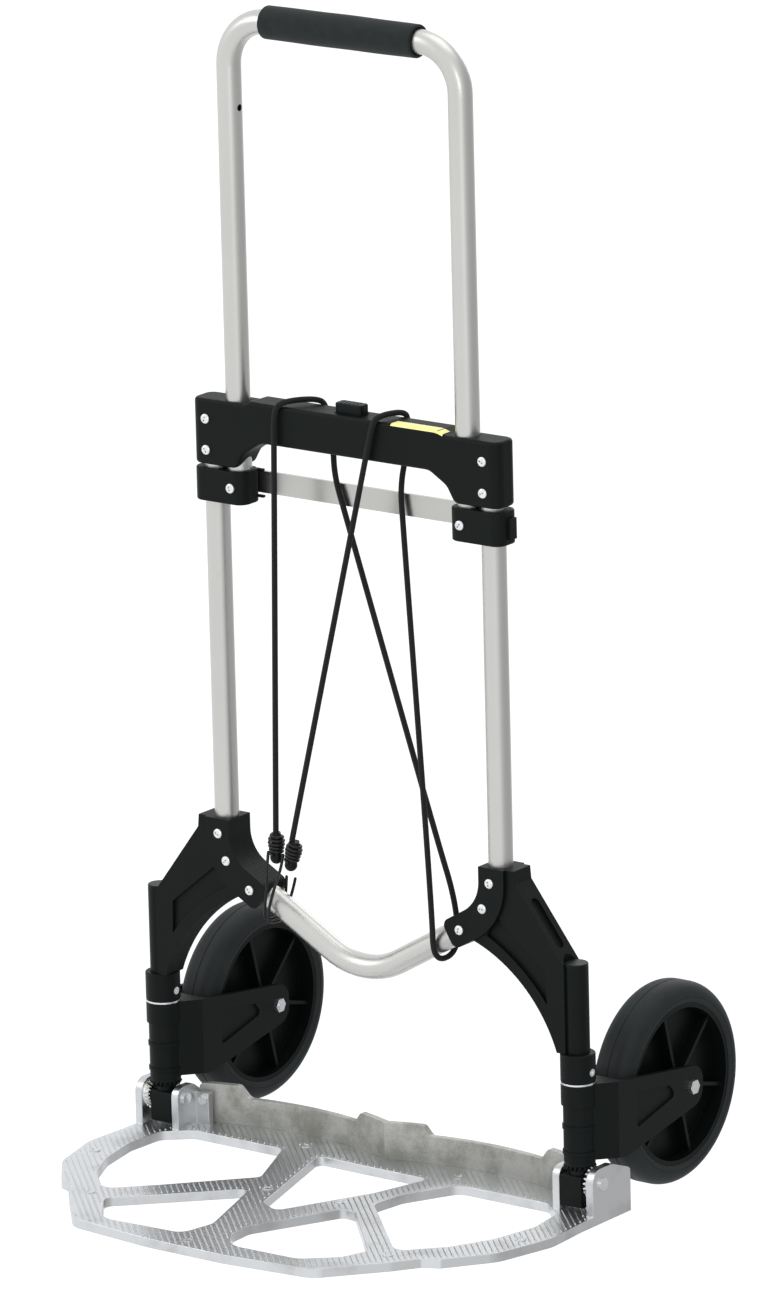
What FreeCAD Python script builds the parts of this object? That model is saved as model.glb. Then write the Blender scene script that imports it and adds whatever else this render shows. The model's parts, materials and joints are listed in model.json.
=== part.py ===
"""Folding two-wheel hand truck, in millimetres.

+Z is up, +X is the truck's right seen from the front, and -Y is the front, where the toe plate lies.
The origin is on the floor, midway between the two swivel posts. The truck stands unfolded with its
handle out. Each physical piece is written to parts/NODE.step.
"""
import FreeCAD
import Part

import math
import os

V = FreeCAD.Vector
X, Y, Z = V(1, 0, 0), V(0, 1, 0), V(0, 0, 1)

# ---- driving dimensions ----------------------------------------------------------------------
TUBE_D = 21.0                  # aluminium tube of the frame and the handle
TUBE_WALL = 1.5
TUBE_GAP = 3.5                 # between a frame tube and the handle tube beside it
HANDLE_HALF = 120.0            # middle of the truck to a handle tube's axis
POST_HALF = 220.0              # middle of the truck to a swivel post's axis
FRAME_BEND_R = 45.0
FRAME_VEE_DEG = 30.0           # slope of the frame tube's bottom legs
FRAME_VEE_Z = 174.5            # height where the two sloping axes would meet
VEE_BEND_R = 70.0
HANDLE_BEND_R = 40.0
GRIP_Z = 991.5                 # axis of the grip
GRIP_D = 29.0
GRIP_LENGTH = 158.0
HANDLE_TRAVEL = 275.0
SHELL_WALL = 3.5               # plastic in front of and behind the tubes

CROSSBAR_Z = (607.0, 664.0)    # underside and top of the crossbar's end blocks
CROSSBAR_MID_Z = (632.0, 667.0)
CROSSBAR_MID_HALF = 88.0
CROSSBAR_WALL = 3.0
CROSSBAR_END_R = 9.0           # upright corners of the crossbar's ends
CROSSBAR_SCREW_Z = (620.0, 647.0)
LOCK_Z = 640.5                 # height of the lock pins
LOCK_PIN_R = 2.6
BAR_H = 8.0                    # lock bar's height and width
BAR_W = 4.0

BLOCK_Z = (575.0, 604.0)       # slide blocks at the handle's lower ends
BLOCK_CORNER_R = 10.0
BAR_Z = (581.5, 600.5)         # flat bar that ties the blocks
BAR_THICK = 3.0
BAR_HALF = 140.0

KNEE_TOP_Z = 297.0
KNEE_LEG = 27.0                # straight length of the knee beyond the bend
ARM_DEPTH = 24.0
SLEEVE_Z = (146.0, 221.0)      # arm's sleeve round the post
CAP_THICK = 3.0
POST_D = 14.0
POST_Z = (14.0, 216.0)
COLLAR_Z = (121.0, 146.0)

HINGE_Z = 34.0                 # toe plate's hinge axis, at y = 0
HINGE_PIN_D = 8.0
FOOT_WALL = 1.6                # foot's wall outside the post
FOOT_Z = (12.0, 40.0)
FOOT_DEPTH = 22.0
GEAR_TEETH = 20

KNUCKLE_TOP_Z = 119.5
FORK_HALF = 28.0               # middle plane of the wheel to the fork's outer face
FORK_PLATE = 5.0
WHEEL_D = 175.0
TYRE_DEPTH = 17.5
TYRE_WIDTH = 37.2
TYRE_SHOULDER_R = 13.0
RIM_WIDTH = 34.0
AXLE_D = 8.0
HUB_D = 27.0
HUB_WIDTH = 40.0
BUSH_D = 16.0

PLATE_THICK = 8.0
EAR_THICK = 7.0
RAIL_THICK = 6.0
RAIL_NEAR_Y = 20.0             # rail's front face at its middle and its ends
RAIL_FAR_Y = 38.0              # rail's front face where it bows back round a folded wheel
RAIL_TOP_Z = 32.0
RAIL_TAB = (33.0, 41.0)        # half width and top of the rail's middle tab
RAIL_LUG_Z = 43.0              # top of the lugs at the rail's ends
HEEL_Y = 40.0                  # rear end of the plate's outer cheeks

SCREW_D = 4.0
SCREW_HEAD_D = 9.0
SCREW_HEAD_H = 2.4
CORD_D = 5.0

RUN_GAP = 0.05                 # radial clearance of a shaft that turns
SLIDE_GAP = 0.3                # clearance of pieces that slide on each other

# ---- worked-out values -----------------------------------------------------------------------
TUBE_R = TUBE_D / 2
POST_R = POST_D / 2
RIM_D = WHEEL_D - 2 * TYRE_DEPTH
AXLE_Z = WHEEL_D / 2
WHEEL_BACK = WHEEL_D / 2 + 36.5            # post axis to wheel axle
FRAME_HALF = HANDLE_HALF + TUBE_D + TUBE_GAP
CROSSBAR_DEPTH = TUBE_D + 2 * SHELL_WALL
CROSSBAR_HALF = FRAME_HALF + TUBE_R + 5.0
HALF_DEPTH = CROSSBAR_DEPTH / 2
BLOCK_X = (HANDLE_HALF - TUBE_R - 2.5, FRAME_HALF + TUBE_R + 6.0)
KNEE_HALF_WIDTH = TUBE_R + 2.5
KNEE_DEPTH = TUBE_D + 9.0
VEE_SLOPE = math.tan(math.radians(FRAME_VEE_DEG))
VEE_STEEP = math.cos(math.radians(FRAME_VEE_DEG))
KNEE_CORNER_Z = FRAME_VEE_Z + FRAME_HALF * VEE_SLOPE
SLEEVE_D = POST_D + 7.0
COLLAR_D = POST_D + 16.0
KNUCKLE_D = POST_D + 14.0
GEAR_PITCH_R = POST_R + 7.0
KNUCKLE_Z = (HINGE_Z + GEAR_PITCH_R + 2.5, KNUCKLE_TOP_Z)
FORK_INNER = FORK_HALF - FORK_PLATE
FOOT_INNER = POST_R + 6.0                  # post axis to the foot's inner face
FOOT_X = (POST_HALF - FOOT_INNER, POST_HALF + POST_R + FOOT_WALL)
EAR_INNER_X = (FOOT_X[0] - 1.0 - EAR_THICK, FOOT_X[0] - 1.0)
EAR_OUTER_X = (POST_HALF + GEAR_PITCH_R + 2.0, POST_HALF + GEAR_PITCH_R + 2.0 + EAR_THICK)


# ---- shape helpers ---------------------------------------------------------------------------
def box(x, y, z):
    """Box between the two values of each axis, in either order."""
    x, y, z = sorted(x), sorted(y), sorted(z)
    return Part.makeBox(x[1] - x[0], y[1] - y[0], z[1] - z[0], V(x[0], y[0], z[0]))


def rod(start, end, radius):
    """Round bar between two points."""
    start, end = V(*start), V(*end)
    return Part.makeCylinder(radius, (end - start).Length, start, end - start)


def rounded(shape, radius, keep=lambda edge: True):
    """Shape with the edges that keep() accepts rounded."""
    return shape.makeFillet(radius, [edge for edge in shape.Edges if keep(edge)])


def along(axis):
    """Test for straight edges that run along an axis."""
    def test(edge):
        if not isinstance(edge.Curve, Part.Line):
            return False
        return abs(abs(edge.tangentAt(edge.FirstParameter).dot(axis)) - 1) < 1e-6
    return test


def mirrored(shape, side):
    """The shape itself on the right (side +1), or its mirror image on the left (side -1)."""
    if side > 0:
        return shape
    return shape.mirror(V(0, 0, 0), X)


def path(points, radii):
    """Wire of straight runs through the points, with a tangent arc of the given radius at each corner."""
    points = [V(*p) for p in points]
    edges, here = [], points[0]
    for before, corner, after, radius in zip(points, points[1:], points[2:], radii):
        back, on = (before - corner).normalize(), (after - corner).normalize()
        half_turn = (math.pi - back.getAngle(on)) / 2
        reach = radius * math.tan(half_turn)
        start, end = corner + back * reach, corner + on * reach
        middle_way = (back + on).normalize()
        middle = corner + middle_way * (radius / math.cos(half_turn) - radius)
        edges.append(Part.LineSegment(here, start).toShape())
        edges.append(Part.Arc(start, middle, end).toShape())
        here = end
    edges.append(Part.LineSegment(here, points[-1]).toShape())
    return Part.Wire(edges)


def swept(wire, radius):
    """Solid round bar along a wire."""
    first = wire.Edges[0]
    start, way = first.valueAt(first.FirstParameter), first.tangentAt(first.FirstParameter)
    ring = Part.Wire(Part.makeCircle(radius, start, way))
    return wire.makePipeShell([ring], True, False)


def profile(points, plane="xz"):
    """Face from corner points; a third value in a point rounds that corner by it."""
    flat = [V(p[0], p[1], 0) for p in points]
    round_by = [p[2] if len(p) > 2 else 0.0 for p in points]
    count = len(flat)
    ends = []
    for i, corner in enumerate(flat):
        back = (flat[i - 1] - corner).normalize()
        on = (flat[(i + 1) % count] - corner).normalize()
        half_turn = (math.pi - back.getAngle(on)) / 2
        reach = round_by[i] * math.tan(half_turn)
        middle = corner
        if round_by[i]:
            middle = corner + (back + on).normalize() * (round_by[i] / math.cos(half_turn) - round_by[i])
        ends.append((corner + back * reach, middle, corner + on * reach))
    edges = []
    for i, (start, middle, end) in enumerate(ends):
        if round_by[i]:
            edges.append(Part.Arc(start, middle, end).toShape())
        edges.append(Part.LineSegment(end, ends[(i + 1) % count][0]).toShape())
    face = Part.Face(Part.Wire(edges))
    if plane == "xz":
        face.rotate(V(0, 0, 0), X, 90)
    if plane == "yz":
        face.rotate(V(0, 0, 0), V(1, 1, 1), 120)
    return face


def plate_xz(points, y):
    """Plate with an outline in X and Z, between two Y values."""
    low, high = sorted(y)
    face = profile(points, "xz")
    face.translate(V(0, low, 0))
    return face.extrude(V(0, high - low, 0))


def plate_yz(points, x):
    """Plate with an outline in Y and Z, between two X values."""
    low, high = sorted(x)
    face = profile(points, "yz")
    face.translate(V(low, 0, 0))
    return face.extrude(V(high - low, 0, 0))


def plate_xy(points, z):
    """Plate with an outline in X and Y, between two Z values."""
    low, high = sorted(z)
    face = profile(points, "xy")
    face.translate(V(0, 0, low))
    return face.extrude(V(0, 0, high - low))


def turned(points, centre, axis=Z):
    """Solid of revolution: (radius, height) points turned about an axis through centre."""
    corners = [V(r, 0, h) for r, h in points]
    solid = Part.Face(Part.makePolygon(corners + corners[:1])).revolve(V(0, 0, 0), Z, 360)
    placement = FreeCAD.Placement(V(*centre), FreeCAD.Rotation(Z, axis))
    return solid.transformGeometry(placement.toMatrix())


def pan_screw(head_seat, way, length):
    """Cross-recess pan-head screw: the head stands on head_seat and the shank runs along way."""
    seat, way = V(*head_seat), V(*way)
    head = Part.makeCylinder(SCREW_HEAD_D / 2, SCREW_HEAD_H, seat, way * -1)
    head = rounded(head, SCREW_HEAD_H * 0.6,
                   lambda e: e.BoundBox.Center.distanceToPoint(seat) > SCREW_HEAD_H * 0.5 and e.Closed)
    recess = Part.makeCone(0.3, 1.6, 1.6, seat - way * (SCREW_HEAD_H - 1.4), way * -1)
    shank = Part.makeCylinder(SCREW_D / 2, length, seat, way)
    return head.cut(recess).fuse(shank)


def group(solids):
    """Identical separate pieces that share a node."""
    return Part.makeCompound(solids)


parts = {}

# ---- frame tube ------------------------------------------------------------------------------
FRAME_TOP_Z = CROSSBAR_Z[1] - 10.0
frame_wire = path(
    [(-FRAME_HALF, 0, FRAME_TOP_Z), (-FRAME_HALF, 0, KNEE_CORNER_Z), (0, 0, FRAME_VEE_Z),
     (FRAME_HALF, 0, KNEE_CORNER_Z), (FRAME_HALF, 0, FRAME_TOP_Z)],
    [FRAME_BEND_R, VEE_BEND_R, FRAME_BEND_R])
frame_solid = swept(frame_wire, TUBE_R)
frame_tube = frame_solid.cut(swept(frame_wire, TUBE_R - TUBE_WALL))

# ---- handle tube and grip --------------------------------------------------------------------
HANDLE_LOW_Z = BLOCK_Z[0] + 3.0
handle_wire = path(
    [(-HANDLE_HALF, 0, HANDLE_LOW_Z), (-HANDLE_HALF, 0, GRIP_Z), (HANDLE_HALF, 0, GRIP_Z),
     (HANDLE_HALF, 0, HANDLE_LOW_Z)],
    [HANDLE_BEND_R, HANDLE_BEND_R])
handle_tube = swept(handle_wire, TUBE_R).cut(swept(handle_wire, TUBE_R - TUBE_WALL))
for side in (-1, 1):
    for z in (LOCK_Z, LOCK_Z + HANDLE_TRAVEL):
        handle_tube = handle_tube.cut(rod((side * (HANDLE_HALF - 2 * TUBE_R), 0, z),
                                          (side * HANDLE_HALF, 0, z), LOCK_PIN_R + 0.4))
grip = rod((-GRIP_LENGTH / 2, 0, GRIP_Z), (GRIP_LENGTH / 2, 0, GRIP_Z), GRIP_D / 2)
grip = rounded(grip, 1.8, lambda e: e.Closed)
parts["handle_grip"] = grip.cut(rod((-GRIP_LENGTH, 0, GRIP_Z), (GRIP_LENGTH, 0, GRIP_Z), TUBE_R))

# ---- crossbar housing ------------------------------------------------------------------------
low, top = CROSSBAR_Z
mid_low, mid_top = CROSSBAR_MID_Z
END_IN = CROSSBAR_MID_HALF     # where the underside's arch starts
ARCH_END = END_IN + 26.0
shoulder = HANDLE_HALF - TUBE_R - 4.0      # where the top starts to rise towards the middle
half_outline = [
    (END_IN, mid_low, 14), (ARCH_END - 8, low + 14, 14), (ARCH_END, low, 8), (CROSSBAR_HALF, low),
    (CROSSBAR_HALF, top), (shoulder, top, 6), (shoulder - 8, mid_top, 6)]
housing = plate_xz(half_outline + [(-p[0],) + p[1:] for p in reversed(half_outline)],
                   (-HALF_DEPTH, HALF_DEPTH))
housing = rounded(housing, CROSSBAR_END_R,
                  lambda e: along(Z)(e) and abs(e.BoundBox.Center.x) > CROSSBAR_HALF - 0.01)


def is_rim(edge):
    """Test for the edges round the housing's front and rear faces and round its ends."""
    bounds = edge.BoundBox
    on_face = bounds.YLength < 0.01 and abs(abs(bounds.Center.y) - HALF_DEPTH) < 0.01
    on_end = bounds.ZLength < 0.01 and abs(bounds.Center.x) > CROSSBAR_HALF - CROSSBAR_END_R
    return (on_face or on_end) and not along(Z)(edge)


housing = rounded(housing, 3.0, is_rim)
CAVITY_HALF = 92.0
cavity = box((-CAVITY_HALF, CAVITY_HALF), (-HALF_DEPTH + CROSSBAR_WALL, HALF_DEPTH - CROSSBAR_WALL),
             (mid_low + CROSSBAR_WALL, mid_top - CROSSBAR_WALL))
passage_half = BAR_H / 2 + 2 * SLIDE_GAP
passage = box((-HANDLE_HALF, HANDLE_HALF), (-BAR_W, BAR_W), (LOCK_Z - passage_half, LOCK_Z + passage_half))
BUTTON_HALF = (14.0, 6.0)      # half width and half depth of the button
BUTTON_RISE = 9.0
BUTTON_TRAVEL = 5.0
button_hole = box((-BUTTON_HALF[0] - SLIDE_GAP, BUTTON_HALF[0] + SLIDE_GAP),
                  (-BUTTON_HALF[1] - SLIDE_GAP, BUTTON_HALF[1] + SLIDE_GAP), (mid_top - 8, mid_top + 8))
housing = housing.cut(cavity).cut(passage).cut(button_hole).cut(frame_solid)
for side in (-1, 1):
    housing = housing.cut(rod((side * HANDLE_HALF, 0, low - 1), (side * HANDLE_HALF, 0, top + 4),
                              TUBE_R + SLIDE_GAP))
crossbar_screws = []
SCREW_LENGTH = CROSSBAR_DEPTH - 5.0
for side in (-1, 1):
    for z in CROSSBAR_SCREW_Z:
        seat = (side * FRAME_HALF, -HALF_DEPTH, z)
        crossbar_screws.append(pan_screw(seat, (0, 1, 0), SCREW_LENGTH))
        hole = rod(seat, (side * FRAME_HALF, -HALF_DEPTH + SCREW_LENGTH, z), SCREW_D / 2)
        housing = housing.cut(hole)
        frame_tube = frame_tube.cut(hole)
WIDE = 2 * POST_HALF
parts["crossbar_front_shell"] = housing.common(box((-WIDE, WIDE), (-50, 0), (0, 2000)))
parts["crossbar_rear_shell"] = housing.common(box((-WIDE, WIDE), (0, 50), (0, 2000)))
parts["crossbar_screws"] = group(crossbar_screws)

# ---- release button and lock bars --------------------------------------------------------------
FLANGE_Z = mid_top - CROSSBAR_WALL - SLIDE_GAP
PEG_R = 1.5
PEG_X = 11.0
PEG_Z = LOCK_Z + 7.5
STEM_Y = (3.0, 6.0)
button = box((-BUTTON_HALF[0], BUTTON_HALF[0]), (-BUTTON_HALF[1], BUTTON_HALF[1]),
             (FLANGE_Z, mid_top + BUTTON_RISE))
button = rounded(button, 3.0, along(Z))
button = rounded(button, 1.6, lambda e: e.BoundBox.ZMin > mid_top + BUTTON_RISE - 0.1)
flange = box((-BUTTON_HALF[0] - 3, BUTTON_HALF[0] + 3), (-BUTTON_HALF[1] - 4.5, BUTTON_HALF[1] + 3),
             (FLANGE_Z - 2.5, FLANGE_Z))
STEM_LOW_Z = PEG_Z - 5.0
stem = box((-BUTTON_HALF[0] - 3, BUTTON_HALF[0] + 3), STEM_Y, (STEM_LOW_Z, FLANGE_Z))
button = button.fuse([flange, stem])
SLOT_HALF = PEG_R + 0.4
for side in (-1, 1):
    near = V(side * (PEG_X + 0.7), 0, PEG_Z - 0.7)
    far = V(side * (PEG_X - BUTTON_TRAVEL - 0.7), 0, PEG_Z + BUTTON_TRAVEL + 0.7)
    for end in (near, far):
        button = button.cut(rod((end.x, STEM_Y[0] - 1, end.z), (end.x, STEM_Y[1] + 1, end.z), SLOT_HALF))
    across = (far - near).cross(Y).normalize() * SLOT_HALF
    corners = [near + across, far + across, far - across, near - across]
    button = button.cut(plate_xz([(c.x, c.z) for c in corners], (STEM_Y[0] - 1, STEM_Y[1] + 1)))
parts["release_button"] = button

SPRING_R = 3.2
SPRING_WIRE_R = 0.5
SPRING_Y = -BUTTON_HALF[1] - 1.0
SPRING_Z = (mid_low + CROSSBAR_WALL, FLANGE_Z - 2.5)
spring_length = SPRING_Z[1] - SPRING_Z[0] - 2 * SPRING_WIRE_R
helix = Part.makeHelix(spring_length / 5, spring_length, SPRING_R)
coil = Part.Wire(helix.Edges).makePipeShell(
    [Part.Wire(Part.makeCircle(SPRING_WIRE_R, V(SPRING_R, 0, 0), Y))], True, True)
coil.translate(V(0, SPRING_Y, SPRING_Z[0] + SPRING_WIRE_R))
parts["button_spring"] = coil

lock_tip = HANDLE_HALF - TUBE_R - SLIDE_GAP
lock_bar = box((6.0, 24.0), (-BAR_W / 2, BAR_W / 2), (LOCK_Z - BAR_H / 2, PEG_Z + 3))
lock_bar = lock_bar.fuse([
    box((6.0, lock_tip - 12), (-BAR_W / 2, BAR_W / 2), (LOCK_Z - BAR_H / 2, LOCK_Z + BAR_H / 2)),
    rod((lock_tip - 16, 0, LOCK_Z), (lock_tip, 0, LOCK_Z), LOCK_PIN_R),
    rod((PEG_X, 0, PEG_Z), (PEG_X, STEM_Y[1], PEG_Z), PEG_R)])
for side, name in ((-1, "left"), (1, "right")):
    parts["lock_bar_" + name] = mirrored(lock_bar, side)

# ---- slide blocks, flat bar ----------------------------------------------------------------------
block_mid_z = sum(BLOCK_Z) / 2
bar = box((-BAR_HALF, BAR_HALF), (HALF_DEPTH, HALF_DEPTH + BAR_THICK), BAR_Z)
bar_back = HALF_DEPTH + BAR_THICK
BLOCK_SCREW_LENGTH = 12.0
RIVET_HEAD_R = 4.0
block_screws, bar_rivets = [], []
for side, name in ((-1, "left"), (1, "right")):
    block = box([side * x for x in BLOCK_X], (-HALF_DEPTH, HALF_DEPTH), BLOCK_Z)
    block = rounded(block, BLOCK_CORNER_R, along(Z))
    block = rounded(block, 1.5, lambda e: e.BoundBox.ZLength < 0.01)
    block = block.fuse(box((side * (BLOCK_X[1] - 4), side * (BLOCK_X[1] + 3)), (-3, 6),
                           (BLOCK_Z[0] + 5, BLOCK_Z[1] - 6)))
    lips = [box((side * (BLOCK_X[0] + 9), side * (BLOCK_X[0] - 4)), (HALF_DEPTH - 5, HALF_DEPTH - 2), z)
            for z in ((BAR_Z[0] - 3, BAR_Z[0] - 1), (BAR_Z[1] + 1, BAR_Z[1] + 3))]
    block = block.fuse(lips)
    block = block.cut(rod((side * HANDLE_HALF, 0, HANDLE_LOW_Z),
                          (side * HANDLE_HALF, 0, BLOCK_Z[1] + 1), TUBE_R))
    block = block.cut(rod((side * FRAME_HALF, 0, BLOCK_Z[0] - 1), (side * FRAME_HALF, 0, BLOCK_Z[1] + 1),
                          TUBE_R + SLIDE_GAP))
    seat = (side * HANDLE_HALF, -HALF_DEPTH, block_mid_z)
    block_screws.append(pan_screw(seat, (0, 1, 0), BLOCK_SCREW_LENGTH))
    hole = rod(seat, (side * HANDLE_HALF, BLOCK_SCREW_LENGTH - HALF_DEPTH, block_mid_z), SCREW_D / 2)
    handle_tube = handle_tube.cut(hole)
    rivet_x = side * (HANDLE_HALF + 2)
    rivet = rod((rivet_x, TUBE_R + 0.5, block_mid_z), (rivet_x, bar_back, block_mid_z), 2.0)
    head = rod((rivet_x, bar_back, block_mid_z), (rivet_x, bar_back + 2, block_mid_z), RIVET_HEAD_R)
    head = rounded(head, 1.2, lambda e: e.BoundBox.YMax > bar_back + 1.9)
    bar_rivets.append(rivet.fuse(head))
    bar = bar.cut(rivet)
    parts["slide_block_" + name] = block.cut(hole).cut(rivet)
parts["link_bar"] = bar
parts["block_screws"] = group(block_screws)
parts["bar_rivets"] = group(bar_rivets)
parts["handle_tube"] = handle_tube

# ---- knees, arms and posts --------------------------------------------------------------------
BEND_DEG = 90.0 - FRAME_VEE_DEG    # how far the frame tube turns at a knee
bend_centre = V(FRAME_HALF - FRAME_BEND_R, 0,
                KNEE_CORNER_Z + FRAME_BEND_R * math.tan(math.radians(BEND_DEG / 2)))


def from_bend(angle, radius):
    """Point in the truck's middle plane, by its angle below +X about the knee's bend centre."""
    angle = math.radians(angle)
    return bend_centre + V(math.cos(angle), 0, -math.sin(angle)) * radius


def knee_band(y):
    """Band that follows the right-hand knee of the frame tube, between two Y values."""
    low_y, high_y = sorted(y)
    radii = (FRAME_BEND_R - KNEE_HALF_WIDTH, FRAME_BEND_R + KNEE_HALF_WIDTH)
    height = high_y - low_y
    base = V(bend_centre.x, high_y, bend_centre.z)
    ring = Part.makeCylinder(radii[1], height, base, Y * -1)
    ring = ring.cut(Part.makeCylinder(radii[0], height, base, Y * -1))
    level, sloping = from_bend(0.0, 4 * FRAME_BEND_R), from_bend(BEND_DEG, 4 * FRAME_BEND_R)
    wedge = plate_xz([(base.x, base.z), (level.x, level.z), (sloping.x, sloping.z)], y)
    upper = box((base.x + radii[0], base.x + radii[1]), (low_y, high_y), (base.z, KNEE_TOP_Z))
    leg = box((base.x + radii[0], base.x + radii[1]), (low_y, high_y), (base.z, base.z + KNEE_LEG))
    leg = rounded(leg, 7.0, lambda e: along(Y)(e) and e.BoundBox.ZMin > base.z + 1)
    leg.rotate(base, Y, 180)
    leg.translate(V(2 * FRAME_BEND_R, 0, 0))
    leg.rotate(base, Y, BEND_DEG)
    return ring.common(wedge).fuse([upper, leg]).removeSplitter()


def face_of(edges):
    """Face inside a closed run of edges, each starting where the last one ends."""
    return Part.Face(Part.Wire(edges))


def lines(points):
    """Straight edges from each (x, z) point to the next."""
    corners = [V(x, 0, z) for x, z in points]
    return [Part.LineSegment(a, b).toShape() for a, b in zip(corners, corners[1:])]


knee_half = KNEE_DEPTH / 2
arm_half = ARM_DEPTH / 2
sleeve_r = SLEEVE_D / 2
BROW = (167.0, 286.0)          # where the arm's straight outer edge starts, at the knee
arm_end_x = POST_HALF - 4.0
arm_inner = [V(POST_HALF - sleeve_r - 2.5, 0, SLEEVE_Z[0]), V(162.0, 0, 209.0), V(118.0, 0, 232.0)]
arm_edges = lines([(118.0, 232.0), (128.0, 262.0), (140.0, KNEE_TOP_Z), (166.0, KNEE_TOP_Z), BROW,
                   (arm_end_x, SLEEVE_Z[1]), (arm_end_x, SLEEVE_Z[0]), (arm_inner[0].x, SLEEVE_Z[0])])
arm_face = face_of(arm_edges + [Part.Arc(*arm_inner).toShape()])
arm_face.translate(V(0, -arm_half, 0))
arm = arm_face.extrude(V(0, ARM_DEPTH, 0))
arm = arm.fuse(rod((POST_HALF, 0, SLEEVE_Z[0]), (POST_HALF, 0, SLEEVE_Z[1]), sleeve_r))

POCKET_DEPTH = 3.0             # recess in the arm's front and rear faces
pocket_low, pocket_start = V(198.0, 0, 186.0), V(137.0, 0, 237.0)
pocket_edges = lines([(137.0, 237.0), (148.0, 255.0), (197.0, 215.0), (198.0, 186.0)])
pocket_edges.append(Part.Arc(pocket_low, V(168.0, 0, 217.0), pocket_start).toShape())
for y in (-arm_half, arm_half - POCKET_DEPTH):
    recess = face_of(pocket_edges)
    recess.translate(V(0, y, 0))
    arm = arm.cut(recess.extrude(V(0, POCKET_DEPTH, 0)))

SLOT_DEPTH = 2.5               # slot along the arm's upper edge
SLOT_LENGTH = 38.0
SLOT_R = 5.0
arm_run = V(arm_end_x - BROW[0], 0, SLEEVE_Z[1] - BROW[1]).normalize()
outer_middle = V((arm_end_x + BROW[0]) / 2, 0, (SLEEVE_Z[1] + BROW[1]) / 2)
into = Y.cross(arm_run)
slot = Part.makeBox(SLOT_LENGTH, 2 * SLOT_R, SLOT_DEPTH)
slot.translate(V(-SLOT_LENGTH / 2, -SLOT_R, 0))
turn = FreeCAD.Rotation(arm_run, Y, into)
slot.Placement = FreeCAD.Placement(outer_middle, turn).multiply(slot.Placement)
for step in (-0.5, 0.5):
    end = outer_middle + arm_run * (SLOT_LENGTH * step)
    slot = slot.fuse(Part.makeCylinder(SLOT_R, SLOT_DEPTH, end, into))
arm = arm.cut(slot)

rear_band = knee_band((0, knee_half))
cover = knee_band((-knee_half, 0))
arm = arm.cut(knee_band((-knee_half, 0.0))).fuse(rear_band)
arm = arm.cut(rod((POST_HALF, 0, 0), (POST_HALF, 0, SLEEVE_Z[1] + 1), POST_R))
arm = arm.cut(frame_solid)
cover = cover.cut(frame_solid)
KNEE_SCREW_LENGTH = KNEE_DEPTH - 4.0
leg_way = V(-VEE_STEEP, 0, -math.sin(math.radians(FRAME_VEE_DEG)))
knee_screw_spots = [
    V(FRAME_HALF - 1.5, 0, bend_centre.z),
    from_bend(33.0, FRAME_BEND_R - 2.5),
    from_bend(BEND_DEG, FRAME_BEND_R) + leg_way * 13.0]
knee_screws = []
for spot in knee_screw_spots:
    seat = (spot.x, -knee_half, spot.z)
    hole = rod(seat, (spot.x, -knee_half + KNEE_SCREW_LENGTH, spot.z), SCREW_D / 2)
    arm = arm.cut(hole)
    cover = cover.cut(hole)
    for side in (-1, 1):
        knee_screws.append(mirrored(pan_screw(seat, (0, 1, 0), KNEE_SCREW_LENGTH), side))
        frame_tube = frame_tube.cut(mirrored(hole, side))
parts["frame_tube"] = frame_tube
parts["knee_screws"] = group(knee_screws)

cap = rod((POST_HALF, 0, SLEEVE_Z[1]), (POST_HALF, 0, SLEEVE_Z[1] + CAP_THICK), sleeve_r)
cap = rounded(cap, 1.0, lambda e: e.Closed and e.BoundBox.ZMin > SLEEVE_Z[1] + 1)
cap = cap.fuse(rod((POST_HALF, 0, POST_Z[1]), (POST_HALF, 0, SLEEVE_Z[1]), POST_R))
arm = arm.cut(rod((POST_HALF, 0, SLEEVE_Z[1]), (POST_HALF, 0, SLEEVE_Z[1] + 40), sleeve_r))
post = rod((POST_HALF, 0, POST_Z[0]), (POST_HALF, 0, POST_Z[1]), POST_R)
collar = rod((POST_HALF, 0, COLLAR_Z[0]), (POST_HALF, 0, COLLAR_Z[1]), COLLAR_D / 2)
collar = rounded(collar, 1.2, lambda e: e.Closed)
collar = collar.cut(rod((POST_HALF, 0, 0), (POST_HALF, 0, 400), POST_R))
collar_mid_z = COLLAR_Z[0] + 9.0
# The grub screw's head sits in a counterbore on the collar's +X side, on both collars.
collar_screws, post_caps, swivel_washers = [], [], []
washer = rod((POST_HALF, 0, KNUCKLE_Z[1]), (POST_HALF, 0, COLLAR_Z[0]), COLLAR_D / 2)
washer = washer.cut(rod((POST_HALF, 0, 0), (POST_HALF, 0, 400), POST_R))

foot = box(FOOT_X, (-FOOT_DEPTH / 2, FOOT_DEPTH / 2), FOOT_Z)
foot = rounded(foot, 3.0, along(X))
foot = foot.cut(rod((POST_HALF, 0, POST_Z[0]), (POST_HALF, 0, 400), POST_R))
pin_r = HINGE_PIN_D / 2
pin_bore = rod((FOOT_X[0] - 1, 0, HINGE_Z), (FOOT_X[1] + 1, 0, HINGE_Z), pin_r + RUN_GAP)
foot = foot.cut(pin_bore)
post = post.cut(pin_bore)

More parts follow.
